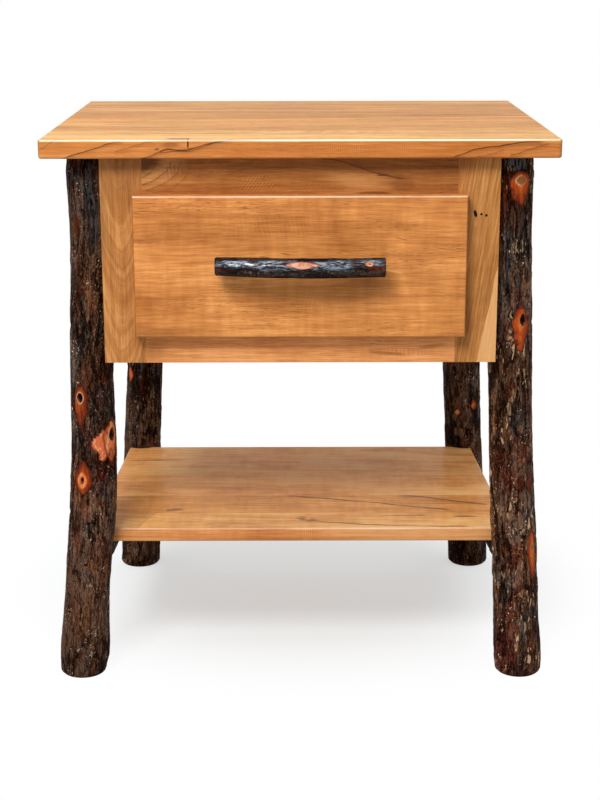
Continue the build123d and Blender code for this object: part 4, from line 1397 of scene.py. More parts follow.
SHELF_GRAIN = {
    "shelf_board_1": SHELF_BOARD._replace(
        seed=11.0,
        heart=(-20.0, -45.0),
        lean=(0.03, 0.05),
        band=17.0,
        tone=(1.21, 1.50, 1.75),
        bias=-0.16,
        fleck=0.25,
        rub=0.6,
        marks=(
            Mark((8.0, -123.5, SHELF_FACE), (17.0, 9.0, 4.0), (0.23, 0.07, 0.03), 0.7, turn=25, ragged=0.9),
            Mark((10.0, -122.0, SHELF_FACE), (6.0, 4.5, 4.0), (0.86, 0.44, 0.20), 0.9, ragged=0.6),
            Mark((140.0, -110.0, SHELF_FACE), (40.0, 2.2, 4.0), DARK, 0.6, turn=-1, ragged=0.6),
            Mark((216.0, -114.0, SHELF_FACE), (20.0, 3.0, 4.0), DARK, 0.7, ragged=0.6),
            Mark((0.0, -148.0, SHELF_FACE), (210.0, 8.0, 4.0), PALE, 0.45, soft=0.9),
            Mark(
                (0.0, SHELF_EDGE, 180.0), (420.0, 3.0, 16.0), (0.66, 0.14, 0.036), 0.42,
                soft=0.3, ragged=0.1,
            ),
            Mark((0.0, SHELF_EDGE, 174.0), (260.0, 3.0, 5.0), SHADE, 0.28, soft=0.9),
        ),
        streaks=(
            Streak(
                "XYZ", SHELF_FACE, ((14, -131.0), (28, -135.0), (80, -144.0), (140, -150.0), (220, -153.0)),
                2.2, DARK, 0.8,
            ),
            Streak(
                "YXZ", SHELF_FACE, ((-162, -209.0), (-110, -194.0), (-72, -182.0)), 0.7, PALE,
                strength=0.6,
            ),
            # Painted shade and reflection of the front left leg, darkening the shelf's front left corner.
            Streak(
                "YXZ", SHELF_FACE, ((-162, -209.0), (-110, -194.0), (-72, -182.0)),
                0.3, SHADE, 0.0, 0.26, 80.0,
            ),
        ),
        curls=(
            Curl((12.0, SHELF_EDGE, 179.0), (42.0, 3.0, 9.0), 2.6, 0.0, 0.3),
            Curl((-120.0, SHELF_EDGE, 179.0), (60.0, 3.0, 9.0), 3.1, 0.0, 0.12),
        ),
    ),
    "shelf_board_2": SHELF_BOARD._replace(
        seed=12.3,
        bias=-0.05,
        fleck=0.2,
        heart=(50.0, -50.0),
        lean=(0.10, 0.04),
        tone=(1.12, 1.28, 1.36),
        marks=(
            Mark((-168.0, -86.0, SHELF_FACE), (16.0, 7.0, 4.0), SHADE, 0.7, turn=-12, ragged=0.8),
            Mark((-40.0, -60.0, SHELF_FACE), (90.0, 9.0, 4.0), SHADE, 0.3, soft=0.9),
        ),
        streaks=(
            Streak(
                "XYZ", SHELF_FACE, ((-24, -29), (0, -33.0), (60, -48.0), (120, -65.0), (205, -88.0)),
                2.4, DARK,
                strength=0.95,
            ),
            Streak(
                "XYZ", SHELF_FACE, ((130, -26.0), (190, -44.0), (254, -67.0)), 2.4, DARK,
                strength=0.9, shade=0.2, reach=20.0,
            ),
        ),
    ),
    "shelf_board_3": SHELF_BOARD._replace(
        seed=13.1,
        heart=(-40.0, -70.0),
        lean=(-0.03, 0.05),
        # Its low bias and high tone are partly painted light, lifting the board where the case shades it.
        bias=-0.24,
        fleck=0.15,
        tone=(1.25, 1.42, 1.62),
    ),
    "shelf_board_4": SHELF_BOARD._replace(
        seed=14.6,
        heart=(45.0, -60.0),
        lean=(0.03, -0.05),
        # Its low bias and high tone are partly painted light, lifting the board where the case shades it.
        bias=-0.26,
        fleck=0.15,
        tone=(1.31, 1.54, 1.88),
        back_tone=(0.96, 0.76, 0.68),
        marks=(Mark((-205.0, 134.0, SHELF_FACE), (50.0, 3.0, 4.0), DARK, 0.7),),
    ),
}

FRAME_GRAIN = {
    "stile_left": Grain(
        axes="ZXY",
        seed=21.0,
        heart=(-5.0, 28.0),
        lean=(0.0, 0.0),
        taper=0.11,
        ring=4.1,
        ring_depth=0.17,
        ring_lines=(0.26, 0.34),
        streak_depth=0.48,
        wander=5.0,
        fleck=0.25,
        tone=(0.76, 0.80, 0.82),
        bias=-0.06,
        marks=(
            Mark((-214.0, -210.0, 655.0), (40.0, 9.0, 60.0), OLIVE, 0.32, soft=0.9),
            Mark((-234.0, -210.0, 600.0), (7.0, 9.0, 75.0), OLIVE, 0.4, ragged=0.4),
            Mark((-193.0, -210.0, 590.0), (8.0, 9.0, 60.0), OLIVE, 0.4, ragged=0.4),
        ),
    ),
    "stile_right": Grain(
        axes="ZXY",
        seed=22.6,
        heart=(95.0, -14.0),
        lean=(0.0, 0.02),
        slope=-0.14,
        ring=2.4,
        ring_depth=0.10,
        ring_lines=(0.5, 0.15),
        band_depth=0.7,
        streak_depth=0.62,
        wander=3.0,
        fleck=0.25,
        tone=(0.77, 0.84, 0.84),
        bias=0.06,
        marks=(
            Mark((208.2, FRAME_FACE, 602.0), (2.3, 6.0, 5.2), HOLE, 1.0, turn=14, soft=0.3, ragged=0.15),
            Mark((215.2, FRAME_FACE, 601.3), (1.7, 6.0, 1.7), HOLE, 1.0, soft=0.3, ragged=0.15),
            Mark((221.2, FRAME_FACE, 599.8), (1.8, 6.0, 2.0), HOLE, 1.0, soft=0.3, ragged=0.15),
            Mark((209.0, FRAME_FACE, 590.0), (3.2, 6.0, 6.0), PALE, 0.3, soft=0.9),
            Mark((204.0, FRAME_FACE, 470.0), (5.0, 6.0, 60.0), SHADE, 0.3, soft=0.9, ragged=0.4),
        ),
        streaks=(
            Streak(
                "ZXY", FRAME_FACE, ((404, 211.8), (423, 215.4), (480, 225.8), (531, 235.2), (560, 240.6)),
                0.6, (0.90, 0.47, 0.185),
                strength=0.4, shade=-0.8, reach=95.0,
            ),
        ),
    ),
    "rail_top": Grain(
        axes="XZY",
        seed=23.9,
        heart=(-10.0, -12.0),
        lean=(0.10, 0.05),
        ring=8.0,
        ring_depth=0.22,
        ring_lines=(0.2, 0.0),
        wander=12.0,
        # A low tone: partly a darker board, partly painted shade under the top's overhang.
        tone=(0.62, 0.60, 0.56),
        marks=(
            Mark((-194.0, FRAME_FACE, 670.0), (70.0, 9.0, 46.0), PALE, 0.35, ragged=0.2),
            Mark(
                (-194.0, FRAME_FACE, 672.0), (42.0, 9.0, 28.0), (0.085, 0.024, 0.006), 0.85,
                soft=0.45, ragged=0.2,
            ),
            Mark((-190.0, FRAME_FACE, 658.0), (9.0, 9.0, 12.0), SHADE, 0.6, soft=0.9),
            Mark((70.0, FRAME_FACE, 640.0), (55.0, 9.0, 15.0), PALE, 0.3, turn=-8, soft=0.9),
            Mark((122.0, FRAME_FACE, 637.0), (17.0, 9.0, 12.0), SHADE, 0.5, soft=0.6, ragged=0.6),
            Mark((98.0, FRAME_FACE, 648.0), (9.0, 9.0, 1.3), DARK, 0.9, turn=3, ragged=0.4),
            Mark((88.0, FRAME_FACE, 627.0), (24.0, 9.0, 2.0), DARK, 0.6, ragged=0.4),
        ),
        streaks=(
            Streak(
                "XZY", FRAME_FACE,
                (
                    (22, 668.0), (40, 665.4), (58, 661.0), (77, 654.4), (92, 649.5), (108, 646.0),
                    (126, 642.0),
                ),
                1.3,
                shade=-0.35, reach=12.0,
            ),
            Streak(
                "XZY", FRAME_FACE, ((-188, 636.0), (-168, 645.0), (-156, 655.0), (-149, 668.0)), 0.9,
                strength=0.6, shade=0.25,
            ),
            Streak(
                "XZY", FRAME_FACE, ((-184, 630.0), (-158, 640.0), (-144, 652.0), (-138, 668.0)), 0.9,
                strength=0.5, shade=0.2,
            ),
            Streak(
                "XZY", FRAME_FACE, ((-176, 627.0), (-148, 635.0), (-134, 648.0), (-128, 668.0)), 0.8,
                strength=0.35, shade=0.15,
            ),
            Streak(
                "XZY", FRAME_FACE, ((-194, 644.0), (-176, 652.0), (-166, 668.0)), 0.8,
                strength=0.5, shade=0.2,
            ),
        ),
        curls=(
            Curl((-49.0, FRAME_FACE, 638.0), (30.0, 6.0, 13.0), 3.6, -35.0, 0.34),
            Curl((0.0, FRAME_FACE, 634.0), (55.0, 6.0, 9.0), 3.9, -35.0, 0.14),
            Curl((-150.0, FRAME_FACE, 655.0), (16.0, 6.0, 16.0), 4.5, 4.0, 0.35),
        ),
    ),
    "rail_bottom": Grain(
        axes="XZY",
        seed=24.4,
        heart=(30.0, -30.0),
        lean=(0.02, 0.05),
        ring=7.0,
        ring_depth=0.3,
        wander=7.0,
        bias=-0.08,
        tone=(1.04, 1.06, 1.2),
        marks=(
            Mark((-178.0, FRAME_FACE, 436.0), (26.0, 9.0, 18.0), SHADE, 0.35, soft=0.9, turn=20),
            Mark((104.0, FRAME_FACE, 432.0), (30.0, 9.0, 3.0), SHADE, 0.5, turn=-6, ragged=0.6),
            Mark((160.0, FRAME_FACE, 441.0), (24.0, 9.0, 4.0), SHADE, 0.4, turn=8, soft=0.8),
        ),
        curls=(Curl((120.0, FRAME_FACE, 432.0), (60.0, 6.0, 9.0), 5.0, 8.0, 0.12),),
    ),
}

FRONT_GRAIN = Grain(
    axes="XZY",
    seed=31.5,
    heart=(-95.0, -60.0),
    lean=(0.05, 0.03),
    ring=11.0,
    ring_depth=0.2,
    ring_lines=(0.15, 0.0),
    band=20.0,
    band_depth=0.5,
    streak_depth=0.43,
    blotch_depth=1.0,
    wander=12.0,
    bias=-0.04,
    rub=0.55,
    marks=(
        Mark((-41.0, DRAWER_FACE, 553.5), (9.0, 9.0, 1.2), DARK, 0.55, turn=-5, ragged=0.5),
        Mark((-18.0, DRAWER_FACE, 557.5), (9.0, 9.0, 1.1), DARK, 0.55, turn=-8, ragged=0.5),
        Mark((-178.0, DRAWER_FACE, 573.0), (55.0, 9.0, 12.0), SHADE, 0.18, soft=0.9),
        Mark((-180.0, DRAWER_FACE, 464.5), (110.0, 9.0, 8.5), SHADE, 0.33, soft=0.7),
        Mark((120.0, DRAWER_FACE, 575.0), (9.0, 9.0, 0.9), DARK, 0.5, turn=-12),
        Mark((112.0, DRAWER_FACE, 536.0), (12.0, 9.0, 1.4), PALE, 0.6, turn=-12, ragged=0.6),
        Mark((150.0, DRAWER_FACE, 545.0), (45.0, 9.0, 60.0), SHADE, 0.12, soft=0.9),
        # Painted shadow of the twig pull, a broad soft darkening under it.
        Mark((5.0, DRAWER_FACE, 516.0), (105.0, 9.0, 30.0), SHADE, 0.13, soft=0.35, ragged=0.15),
    ),
    curls=(
        Curl((-20.0, DRAWER_FACE, 590.0), (90.0, 6.0, 22.0), 5.0, 10.0, 0.07),
        Curl((20.0, DRAWER_FACE, 500.0), (60.0, 6.0, 18.0), 4.5, -12.0, 0.07),
    ),
)

CASE_BOARD = Grain(ring=6.0, bias=0.08)
CASE_GRAIN = {
    "case_side_left": CASE_BOARD._replace(axes="YZX", seed=41.0, heart=(20.0, -60.0)),
    "case_side_right": CASE_BOARD._replace(axes="YZX", seed=42.3, heart=(-30.0, 60.0)),
    "case_back": CASE_BOARD._replace(axes="XZY", seed=43.7, heart=(30.0, 60.0)),
}
INNER_GRAIN = Grain(ring=7.0, ring_depth=0.35, fleck=0.25, blotch_depth=0.35, streak_depth=0.4)
INNER_DEEP = 0.66  # the late wood's share of the plain wood's colour
INNER_GLOSS = 0.08
INNER_ROUGHNESS = 0.35  # of the clear coat inside
BOX_GLOSS = 0.12
POST_GRAIN = Grain(axes="YXZ", seed=61.0)
POST_WOOD = ((0.10, 0.05, 0.025), (0.05, 0.024, 0.012))
POST_GLOSS = 0.3


# ---- Knots and bark of each pole ---------------------------------------------------------------
LEG_KNOTS = {
    "leg_front_left": (
        Knot(
            -29.0, 373.4, 10.5, 19.0, 34.0, 1.6, (3.7, 5.2), 1.0,
            blush=0.1, ragged=0.18, slip=(0.0, -2.0), glow=0.42,
        ),
        Knot(35.0, 314.5, 18.5, 17.0, 22.0, 1.25, blush=0.95, ragged=0.4, swell=0.2),
        Knot(
            63.0, 323.5, 13.0, 20.0, 34.0, 1.7, (5.2, 7.6), 0.12, (8.6, 20.0), 0.55, 0.12,
            slip=(-2.0, -2.0),
        ),
        Knot(
            -24.0, 266.6, 13.0, 27.0, 19.0, 1.45, (2.3, 4.4), 0.0, (7.0, 11.0), 0.15, 0.12,
            slip=(1.0, 0.0), glow=0.5,
        ),
        Knot(-34.0, 586.0, 6.0, 18.0, 17.0, 1.6, ragged=0.4, stain=0.9),
        Knot(-31.0, 545.0, 5.0, 25.0, 30.0, 1.6, ragged=0.7, stain=0.7),
        Knot(-31.0, 500.0, 5.0, 28.0, 40.0, 1.6, ragged=0.7, stain=0.7),
        Knot(5.0, 480.0, 7.0, 28.0, 60.0, 1.6, ragged=0.9, stain=0.42),
        Knot(26.0, 372.0, 9.0, 22.0, 22.0, 1.6, ragged=0.8, stain=0.5),
        Knot(-6.0, 392.0, 9.0, 18.0, 22.0, 1.6, ragged=0.9, stain=0.5),
        Knot(22.0, 262.0, 14.0, 32.0, 30.0, 1.6, ragged=0.8, stain=0.55),
        Knot(-16.0, 228.0, 7.0, 20.0, 42.0, 1.6, ragged=0.8, stain=0.62),
        Knot(-30.0, 196.0, 5.0, 28.0, 38.0, 1.6, ragged=0.7, stain=0.62),
        Knot(-22.0, 110.0, 4.0, 22.0, 26.0, 1.6, ragged=0.8, stain=0.5),
        Knot(30.0, 84.0, 5.0, 16.0, 16.0, 1.6, ragged=0.9, stain=0.5),
        Knot(12.0, 26.0, 5.0, 12.0, 14.0, 1.6, ragged=0.9, stain=0.5),
    ),
    "leg_front_right": (
        Knot(
            21.0, 640.0, 14.0, 13.0, 28.0, 1.8,
            ring=1.0, blush=0.1, ragged=0.15, slip=(0.0, -1.0), glow=0.8, eye=(5.0, 4.3),
        ),
        Knot(-22.0, 634.0, 5.0, 16.0, 20.0, 1.6, ragged=0.5, stain=0.95),
        Knot(15.0, 598.0, 3.5, 16.0, 24.0, 1.5, ragged=0.7, stain=0.6),
        Knot(18.0, 499.0, 6.5, 15.0, 14.0, 1.5, ragged=0.8, stain=0.75),
        Knot(-2.0, 488.0, 5.0, 20.0, 22.0, 1.5, ragged=0.8, stain=0.6),
        Knot(
            29.5, 470.0, 11.6, 24.0, 31.0, 1.55, (3.9, 6.6), 0.0,
            blush=0.1, ragged=0.42, slip=(-3.2, -6.0), glow=0.95,
        ),
        Knot(31.5, 474.0, 10.0, 26.0, 30.0, 1.7, ragged=0.6, stain=0.6),
        Knot(-19.0, 456.0, 4.0, 22.0, 22.0, 1.5, ragged=0.8, stain=0.55),
        Knot(-8.0, 388.0, 9.0, 16.0, 24.0, 1.5, ragged=0.9, stain=0.45),
        Knot(-16.0, 270.0, 7.0, 15.0, 18.0, 1.5, ragged=0.8, stain=0.65),
        Knot(16.0, 262.0, 6.0, 14.0, 14.0, 1.5, ragged=0.8, stain=0.7),
        Knot(47.0, 266.0, 4.5, 18.0, 20.0, 1.5, ragged=0.6, stain=0.95),
        Knot(48.5, 176.0, 8.0, 28.0, 42.0, 1.7, ring=0.5, blush=0.1, slip=(-1.0, -4.0)),
        Knot(36.0, 152.0, 3.5, 24.0, 20.0, 1.5, ragged=0.7, stain=0.9),
        Knot(2.0, 150.0, 8.0, 24.0, 30.0, 1.5, ragged=0.9, stain=0.45),
        Knot(-14.0, 68.0, 8.0, 10.0, 12.0, 1.5, ragged=0.9, stain=0.5),
    ),
    "leg_rear_left": (
        Knot(-48.0, 299.0, 6.0, 11.0, 12.0, 1.5, blush=0.35, ragged=0.6, swell=0.1),
        Knot(10.0, 350.0, 7.0, 26.0, 30.0, 1.6, ragged=0.8, stain=0.5),
        Knot(150.0, 520.0, 12.0, 24.0, 36.0, 1.6, (3.4, 5.0), 0.8, blush=0.2, ragged=0.18),
        Knot(-120.0, 300.0, 11.0, 22.0, 26.0, 1.6, ring=0.8, blush=0.2, ragged=0.2),
    ),
    "leg_rear_right": (
        Knot(35.0, 254.0, 5.0, 9.0, 10.0, 1.5, ragged=0.5, swell=0.1),
        Knot(-20.0, 243.0, 4.5, 5.0, 6.0, 1.5, blush=0.7, ragged=0.6, swell=0.1),
        Knot(-10.0, 330.0, 7.0, 26.0, 30.0, 1.6, ragged=0.8, stain=0.5),
        Knot(200.0, 300.0, 12.0, 26.0, 34.0, 1.5, (3.8, 5.4), 0.8, (7.5, 12.0), 0.2, 0.16),
        Knot(120.0, 470.0, 10.0, 18.0, 24.0, 1.6, ring=0.8, blush=0.2, ragged=0.2),
    ),
}
LEG_STYLES = {
    "leg_front_left": BarkStyle(
        seed=3,
        smooth_above=470.0,
        lump=0.6,
        flaky=0.15,
        tone=(1.02, 1.50, 1.12),
        gloss_and_sheen=((9.0, 610.0, 20.0, 52.0), (26.0, 384.0, 7.0, 12.0)),
    ),
    "leg_front_right": BarkStyle(
        seed=5,
        chip=0.7,
        flaky=1.0,
        tone=(1.74, 1.16),
        gloss_and_sheen=((8.0, 660.0, 26.0, 10.0), (-14.0, 560.0, 7.0, 34.0)),
    ),
    "leg_rear_left": BarkStyle(seed=7, flaky=0.3, tone=(0.98, 0.95), gloss_and_sheen=((-10.0, 330.0, 14.0, 40.0),)),
    "leg_rear_right": BarkStyle(seed=9, flaky=0.3, tone=(1.18, 1.12)),
}
RUNG_STYLE = BarkStyle(6, 50.0, 17, 30.0, 36, 14.0, 15, 12.0, lump=0.35, deep=0.6, seed=11)
TWIG_STYLE = BarkStyle(
    6, 60.0, 14, 40.0, 30, 26.0, 13, 14.0,
    deep=0.45,
    ridge=0.55,
    chip=0.15,
    flaky=0.1,
    # Glossy patches with painted sheen, on the twig's upper front where the key light falls.
    gloss_and_sheen=(
        (30.0, 24.0, 34.0, 28.0),
        (26.0, 64.0, 34.0, 28.0),
        (8.0, 103.0, 16.0, 32.0),
        (46.0, 104.0, 18.0, 34.0),
        (28.0, 146.0, 36.0, 30.0),
        (46.0, 180.0, 30.0, 24.0),
    ),
    seed=13,
)
TWIG_KNOTS = (
    Knot(27.0, 101.5, 5.0, 22.0, 21.0, 1.35, blush=1.0, ragged=0.12, swell=0.1),
    Knot(33.0, 181.0, 3.4, 4.5, 6.5, 1.8, (0.9, 1.0), 1.0, blush=0.9, ragged=0.2, swell=0.5),
    Knot(-16.0, 13.0, 3.0, 12.0, 12.0, 1.6, ragged=0.6, stain=0.75),
    Knot(0.0, 190.0, 4.8, 14.0, 13.0, 1.6, ragged=0.7, stain=0.85),
    Knot(16.0, 166.0, 2.5, 8.0, 10.0, 1.6, ragged=0.8, stain=0.5),
)
FOOT_BEVEL = 3 * MM
RUNG_ROWS, RUNG_ROUND = 260, 96  # faces along and round
TWIG_ROWS, TWIG_ROUND = 280, 112
LEG_INSET, RUNG_INSET, TWIG_INSET = 4 * MM, 40 * MM, 2 * MM  # no ring is measured nearer to an end
FLAT = 0.1 * MM  # corners this near to an end belong to it
TENON_END = 1.5 * MM  # the same for a rung's tenon, whose end is eased
RUNG_RELIEF, TWIG_RELIEF = 0.8, 0.75  # against the legs' relief

LEG_LOOK = BarkLook("Z", end_wood=(0.42, 0.24, 0.12))
RUNG_LOOK = BarkLook("Y", end_wood=(0.10, 0.055, 0.03))
TWIG_LOOK = BarkLook(
    "X",
    end_wood=(0.13, 0.05, 0.02),
    dim=0.34,
    cool=0.6,
    wet=(0.10, 1.0),
    relief=1.6 * MM,
    flesh=((0.54, 0.21, 0.10), (0.72, 0.35, 0.22)),
    # A bright bluish painted sheen, standing for the highlights on the twig's upper front.
    painted_sheen=((0.012, 0.013, 0.017), (0.30, 0.355, 0.45)),
    groove=430.0,
)


def corner_points(node):
    """Where the corners of a solid's faces are."""
    return np.array([v.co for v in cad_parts[node].data.vertices])


def add_pole(piece, node, body, material):
    """Puts a bark mesh in its solid's place."""
    piece.data.materials.append(material)
    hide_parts(node)
    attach(piece, body)


# ---- The studio --------------------------------------------------------------------------------
class SoftBox(NamedTuple):
    """A rectangular light: where it stands, what it points at and its width and depth in metres."""

    place: tuple
    target: tuple
    size: tuple


KEY_BOX = SoftBox((-0.60, -1.80, 2.12), (0.0, -0.1, 0.42), (0.88, 0.72))
TOP_BOX = SoftBox((0.0, -0.1, 2.6), (0.0, 0.0, 0.4), (2.4, 2.0))
SENSOR_WIDTH = 36.0  # the camera's, in millimetres
FLOOR_HALF = 6.0  # half the floor's width, in metres
FLOOR_PAINT = (0.49, 0.52, 0.53)
FADE_CENTRE = (0.0, 0.16, 0.0)  # the floor turns white in the view round this place
FADE_SPAN = (0.19, 0.47)  # from so far to so far away from it, in metres


# ---- Operators ---------------------------------------------------------------------------------
class TABLE_OT_stage(bpy.types.Operator):
    """Sets up the pale floor, the soft lights, the white room and the camera"""

    bl_idname = "table.stage"
    bl_label = "Studio"

    def execute(self, context):
        stage = context.scene.table.stage
        self.add_floor(stage)
        self.add_room(context.scene, stage)
        self.add_light("key_light", KEY_BOX, stage.key_power)
        self.add_light("top_light", TOP_BOX, stage.top_power)
        self.add_camera(context.scene, stage)
        context.scene.view_settings.view_transform = "Standard"
        return {"FINISHED"}

    def add_floor(self, stage):
        """A wide floor that takes the table's shadow and fades to white in the view."""
        mesh = bpy.data.meshes.new("floor")
        corners = ((-1, -1), (1, -1), (1, 1), (-1, 1))
        mesh.from_pydata([(x * FLOOR_HALF, y * FLOOR_HALF, 0) for x, y in corners], [], [(0, 1, 2, 3)])
        floor = placed("floor", mesh)
        finish = Finish("pale_floor")
        seen = finish.seen()
        aside = finish.vector("SUBTRACT", finish.place(), FADE_CENTRE)
        away = finish.vector("LENGTH", finish.vector("MULTIPLY", aside, (1.0, 1.0, 0.0)))
        far = finish.times(finish.span(away, *FADE_SPAN), seen)
        paint = finish.node("BsdfDiffuse", {"Color": FLOOR_PAINT})
        lift = finish.node("Emission", {"Strength": finish.times(seen, stage.floor_lift)})
        white = finish.node("Emission", {"Strength": 1.0})
        near = finish.node("AddShader")
        finish.feed(near.inputs[0], paint.outputs[0])
        finish.feed(near.inputs[1], lift.outputs[0])
        both = finish.node("MixShader", {"Fac": far})
        finish.feed(both.inputs[1], near.outputs[0])
        finish.feed(both.inputs[2], white.outputs[0])
        output = finish.node("OutputMaterial")
        finish.feed(output.inputs["Surface"], both.outputs[0])
        mesh.materials.append(finish.material)

    def add_room(self, scene, stage):
        """Even light from all round, which is white where the camera sees it."""
        world = bpy.data.worlds.new("room")
        world.use_nodes = True
        room = Nodes(world.node_tree)
        strength = room.node("MapRange", {"Value": room.seen(), "To Min": stage.ambient, "To Max": 1.0})
        background = room.node("Background", {"Color": (1, 1, 1), "Strength": strength.outputs[0]})
        output = room.node("OutputWorld")
        room.feed(output.inputs["Surface"], background.outputs[0])
        scene.world = world

    def add_light(self, name, box, power):
        """A soft box that points at its target."""
        light = bpy.data.lights.new(name, "AREA")
        light.shape = "RECTANGLE"
        light.size, light.size_y = box.size
        light.energy = power
        lamp = placed(name, light)
        lamp.location = box.place
        way = Vector(box.target) - Vector(box.place)
        lamp.rotation_euler = way.to_track_quat("-Z", "Y").to_euler()

    def add_camera(self, scene, stage):
        """The camera straight in front of the table."""
        camera = bpy.data.cameras.new("camera")
        camera.sensor_width = SENSOR_WIDTH
        camera.lens = stage.lens
        seat = placed("camera", camera)
        seat.location = stage.camera_place
        seat.rotation_euler = stage.camera_turn
        scene.camera = seat


class BoardOperator:
    """What the operators that finish boards share."""

    def finish_boards(self, context, grains):
        """Gives each board its stained and coated finish."""
        board = context.scene.table.board
        light, deep = tuple(board.light), tuple(board.deep)
        for node, grain in grains.items():
            dress(node, board_finish(f"honey_{node}", node, grain, light, deep, board.gloss))

    def finish_inner(self, context, nodes, axes, gloss=INNER_GLOSS):
        """Gives each board the plain wood of the inside."""
        light = tuple(context.scene.table.board.inner)
        deep = tuple(INNER_DEEP * v for v in light)
        for i, node in enumerate(nodes):
            grain = INNER_GRAIN._replace(axes=axes, seed=50.0 + 1.9 * i + len(node))
            finish = board_finish(f"inner_{node}", node, grain, light, deep, gloss, INNER_ROUGHNESS)
            dress(node, finish)


class TABLE_OT_top(bpy.types.Operator, BoardOperator):
    """Finishes the boards of the table top"""

    bl_idname = "table.top"
    bl_label = "Top Boards"

    def execute(self, context):
        self.finish_boards(context, TOP_GRAIN)
        return {"FINISHED"}


class TABLE_OT_face_frame(bpy.types.Operator, BoardOperator):
    """Finishes the stiles and rails round the drawer"""

    bl_idname = "table.face_frame"
    bl_label = "Face Frame"

    def execute(self, context):
        self.finish_boards(context, FRAME_GRAIN)
        return {"FINISHED"}


class TABLE_OT_case(bpy.types.Operator, BoardOperator):
    """Finishes the case sides, the back, and the strips and blocks inside"""

    bl_idname = "table.case"
    bl_label = "Case"

    def execute(self, context):
        self.finish_boards(context, CASE_GRAIN)
        strips = ("cleat_left", "cleat_right", "slide_block_left", "slide_block_right")
        self.finish_inner(context, strips, "YZX")
        self.finish_inner(context, ("frame_dowels",), "XZY")
        return {"FINISHED"}


class TABLE_OT_shelf(bpy.types.Operator, BoardOperator):
    """Finishes the boards of the lower shelf"""

    bl_idname = "table.shelf"
    bl_label = "Shelf"

    def execute(self, context):
        self.finish_boards(context, SHELF_GRAIN)
        return {"FINISHED"}


class TABLE_OT_drawer(bpy.types.Operator, BoardOperator):
    """Finishes the drawer front and the dovetailed box behind it"""

    bl_idname = "table.drawer"
    bl_label = "Drawer"

    def execute(self, context):
        self.finish_boards(context, {"drawer_front": FRONT_GRAIN})
        self.finish_inner(context, ("box_side_left", "box_side_right"), "YZX", gloss=BOX_GLOSS)
        self.finish_inner(context, ("box_front", "box_back"), "XZY", gloss=BOX_GLOSS)
        self.finish_inner(context, ("box_bottom",), "XYZ", gloss=BOX_GLOSS)
        return {"FINISHED"}


class TABLE_OT_slides(bpy.types.Operator):
    """Finishes the drawer slides"""

    bl_idname = "table.slides"
    bl_label = "Drawer Slides"

    def execute(self, context):
        material = zinc_finish("drawn_zinc", context.scene.table.steel.zinc, "Y")
        for member in ("outer", "middle", "inner"):
            for side in ("left", "right"):
                dress(f"slide_{member}_{side}", material)
        return {"FINISHED"}


class TABLE_OT_fasteners(bpy.types.Operator):
    """Finishes the bolts, nuts, washers and screws"""

    bl_idname = "table.fasteners"
    bl_label = "Fasteners"

    def execute(self, context):
        material = zinc_finish("plated_fastener", context.scene.table.steel.zinc, "X")
        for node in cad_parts:
            if node.endswith(("_screws", "_bolts", "_washers", "_nuts")):
                dress(node, material)
        return {"FINISHED"}


class TABLE_OT_legs(bpy.types.Operator):
    """Makes the four legs with their bark, knots and seats"""

    bl_idname = "table.legs"
    bl_label = "Legs"

    def execute(self, context):
        bark = context.scene.table.bark
        material = BarkFinish("leg_bark", bark, LEG_LOOK).complete()
        shelf_low, shelf_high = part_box("shelf_board_1")
        edges = (shelf_low.z, shelf_high.z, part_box("stile_left")[0].z)
        for node, knots in LEG_KNOTS.items():
            tree = surface_tree(node, node.replace("leg_front", "rung").replace("leg_rear", "rung"))
            foot = self.foot_centre(node)
            head = (foot[0], foot[1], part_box(node)[1].z)
            pole = measured_pole(tree, foot, head, (0, -1, 0), LEG_INSET)
            piece = pole_mesh(
                "bark_" + node,
                pole,
                tree,
                bark.row_count,
                bark.round_count,
                LEG_STYLES[node],
                knots,
                edges,
                FOOT_BEVEL,
                bark.relief,
            )
            add_pole(piece, node, "root", material)
        return {"FINISHED"}

    def foot_centre(self, node):
        """The middle of the leg's lowest face."""
        points = [v.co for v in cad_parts[node].data.vertices if v.co.z < FLAT]
        return tuple(sum(p[k] for p in points) / len(points) for k in (0, 1)) + (0.0,)


class TABLE_OT_rungs(bpy.types.Operator):
    """Makes the two rungs under the shelf with their bark"""

    bl_idname = "table.rungs"
    bl_label = "Rungs"

    def execute(self, context):
        bark = context.scene.table.bark
        material = BarkFinish("rung_bark", bark, RUNG_LOOK).complete()
        for i, node in enumerate(("rung_left", "rung_right")):
            tree = surface_tree(node)
            start, end = self.tips(node)
            pole = measured_pole(tree, start, end, (0, 0, -1), RUNG_INSET)
            style = RUNG_STYLE._replace(seed=RUNG_STYLE.seed + i)
            relief = RUNG_RELIEF * bark.relief
            piece = pole_mesh(
                "bark_" + node, pole, tree, RUNG_ROWS, RUNG_ROUND, style, (), relief_size=relief
            )
            add_pole(piece, node, "root", material)
        return {"FINISHED"}

    def tips(self, node):
        """The middles of the tenons' ends, front and rear."""
        points = corner_points(node)
        depth = points[:, 1]
        ends = (points[depth < depth.min() + TENON_END], points[depth > depth.max() - TENON_END])
        return [(end.min(axis=0) + end.max(axis=0)) / 2 for end in ends]


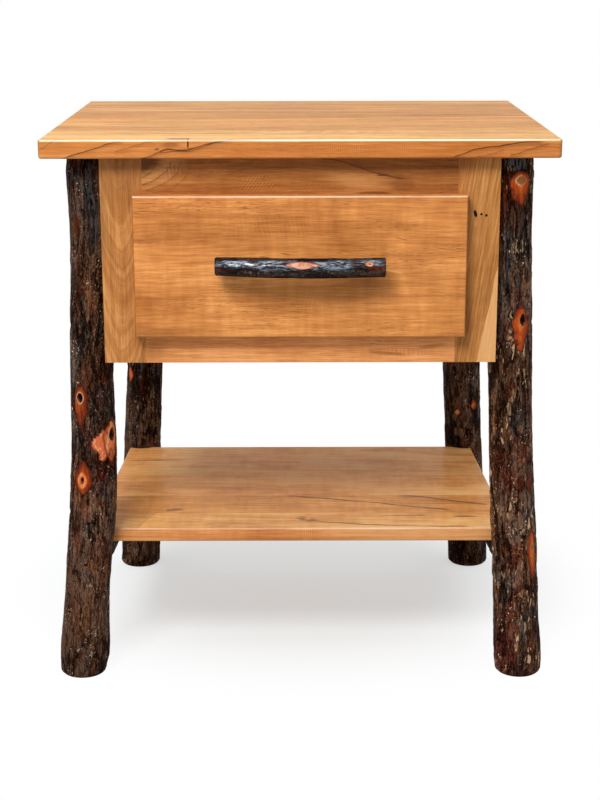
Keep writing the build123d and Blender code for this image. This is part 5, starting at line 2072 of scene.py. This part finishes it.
class TABLE_OT_pull(bpy.types.Operator):
    """Makes the bowed twig pull with its bark, and finishes its posts"""

    bl_idname = "table.pull"
    bl_label = "Twig Pull"

    def execute(self, context):
        bark = context.scene.table.bark
        material = BarkFinish("twig_bark", bark, TWIG_LOOK).complete()
        tree = surface_tree("pull_twig", "pull_posts")
        points = corner_points("pull_twig")
        width = points[:, 0]
        left = points[width < width.min() + FLAT].mean(axis=0)
        right = points[width > width.max() - FLAT].mean(axis=0)
        pole = measured_pole(tree, left, right, (0, -1, 0), TWIG_INSET)
        pole = pole._replace(side=np.array((0.0, 0.0, 1.0)))
        piece = pole_mesh(
            "bark_pull_twig",
            pole,
            tree,
            TWIG_ROWS,
            TWIG_ROUND,
            TWIG_STYLE,
            TWIG_KNOTS,
            relief_size=TWIG_RELIEF * bark.relief,
            seats=False,
        )
        add_pole(piece, "pull_twig", "drawer", material)
        dress("pull_posts", board_finish("dark_post", "pull_posts", POST_GRAIN, *POST_WOOD, POST_GLOSS))
        return {"FINISHED"}


OPERATORS = (
    TABLE_OT_stage,
    TABLE_OT_top,
    TABLE_OT_face_frame,
    TABLE_OT_case,
    TABLE_OT_shelf,
    TABLE_OT_drawer,
    TABLE_OT_slides,
    TABLE_OT_fasteners,
    TABLE_OT_legs,
    TABLE_OT_rungs,
    TABLE_OT_pull,
)


class TABLE_PT_panel(bpy.types.Panel):
    """Lists what the table's finish is made of"""

    bl_idname = "TABLE_PT_panel"
    bl_label = "Hickory Table"
    bl_space_type = "VIEW_3D"
    bl_region_type = "UI"
    bl_category = "Hickory Table"

    def draw(self, context):
        for operator in OPERATORS:
            self.layout.operator(operator.bl_idname)
        for group in ("stage", "board", "bark", "steel"):
            settings = getattr(context.scene.table, group)
            box = self.layout.box()
            box.label(text=group.title())
            for name in settings.__annotations__:
                box.prop(settings, name)


SETTINGS = (StageSettings, BoardSettings, BarkSettings, SteelSettings, TableSettings)
CLASSES = (*SETTINGS, *OPERATORS, TABLE_PT_panel)


def register():
    for each in CLASSES:
        bpy.utils.register_class(each)
    bpy.types.Scene.table = PointerProperty(type=TableSettings)


def unregister():
    del bpy.types.Scene.table
    for each in reversed(CLASSES):
        bpy.utils.unregister_class(each)


def main():
    register()
    for operator in OPERATORS:
        group, name = operator.bl_idname.split(".")
        getattr(getattr(bpy.ops, group), name)()


if __name__ == "__main__":
    main()
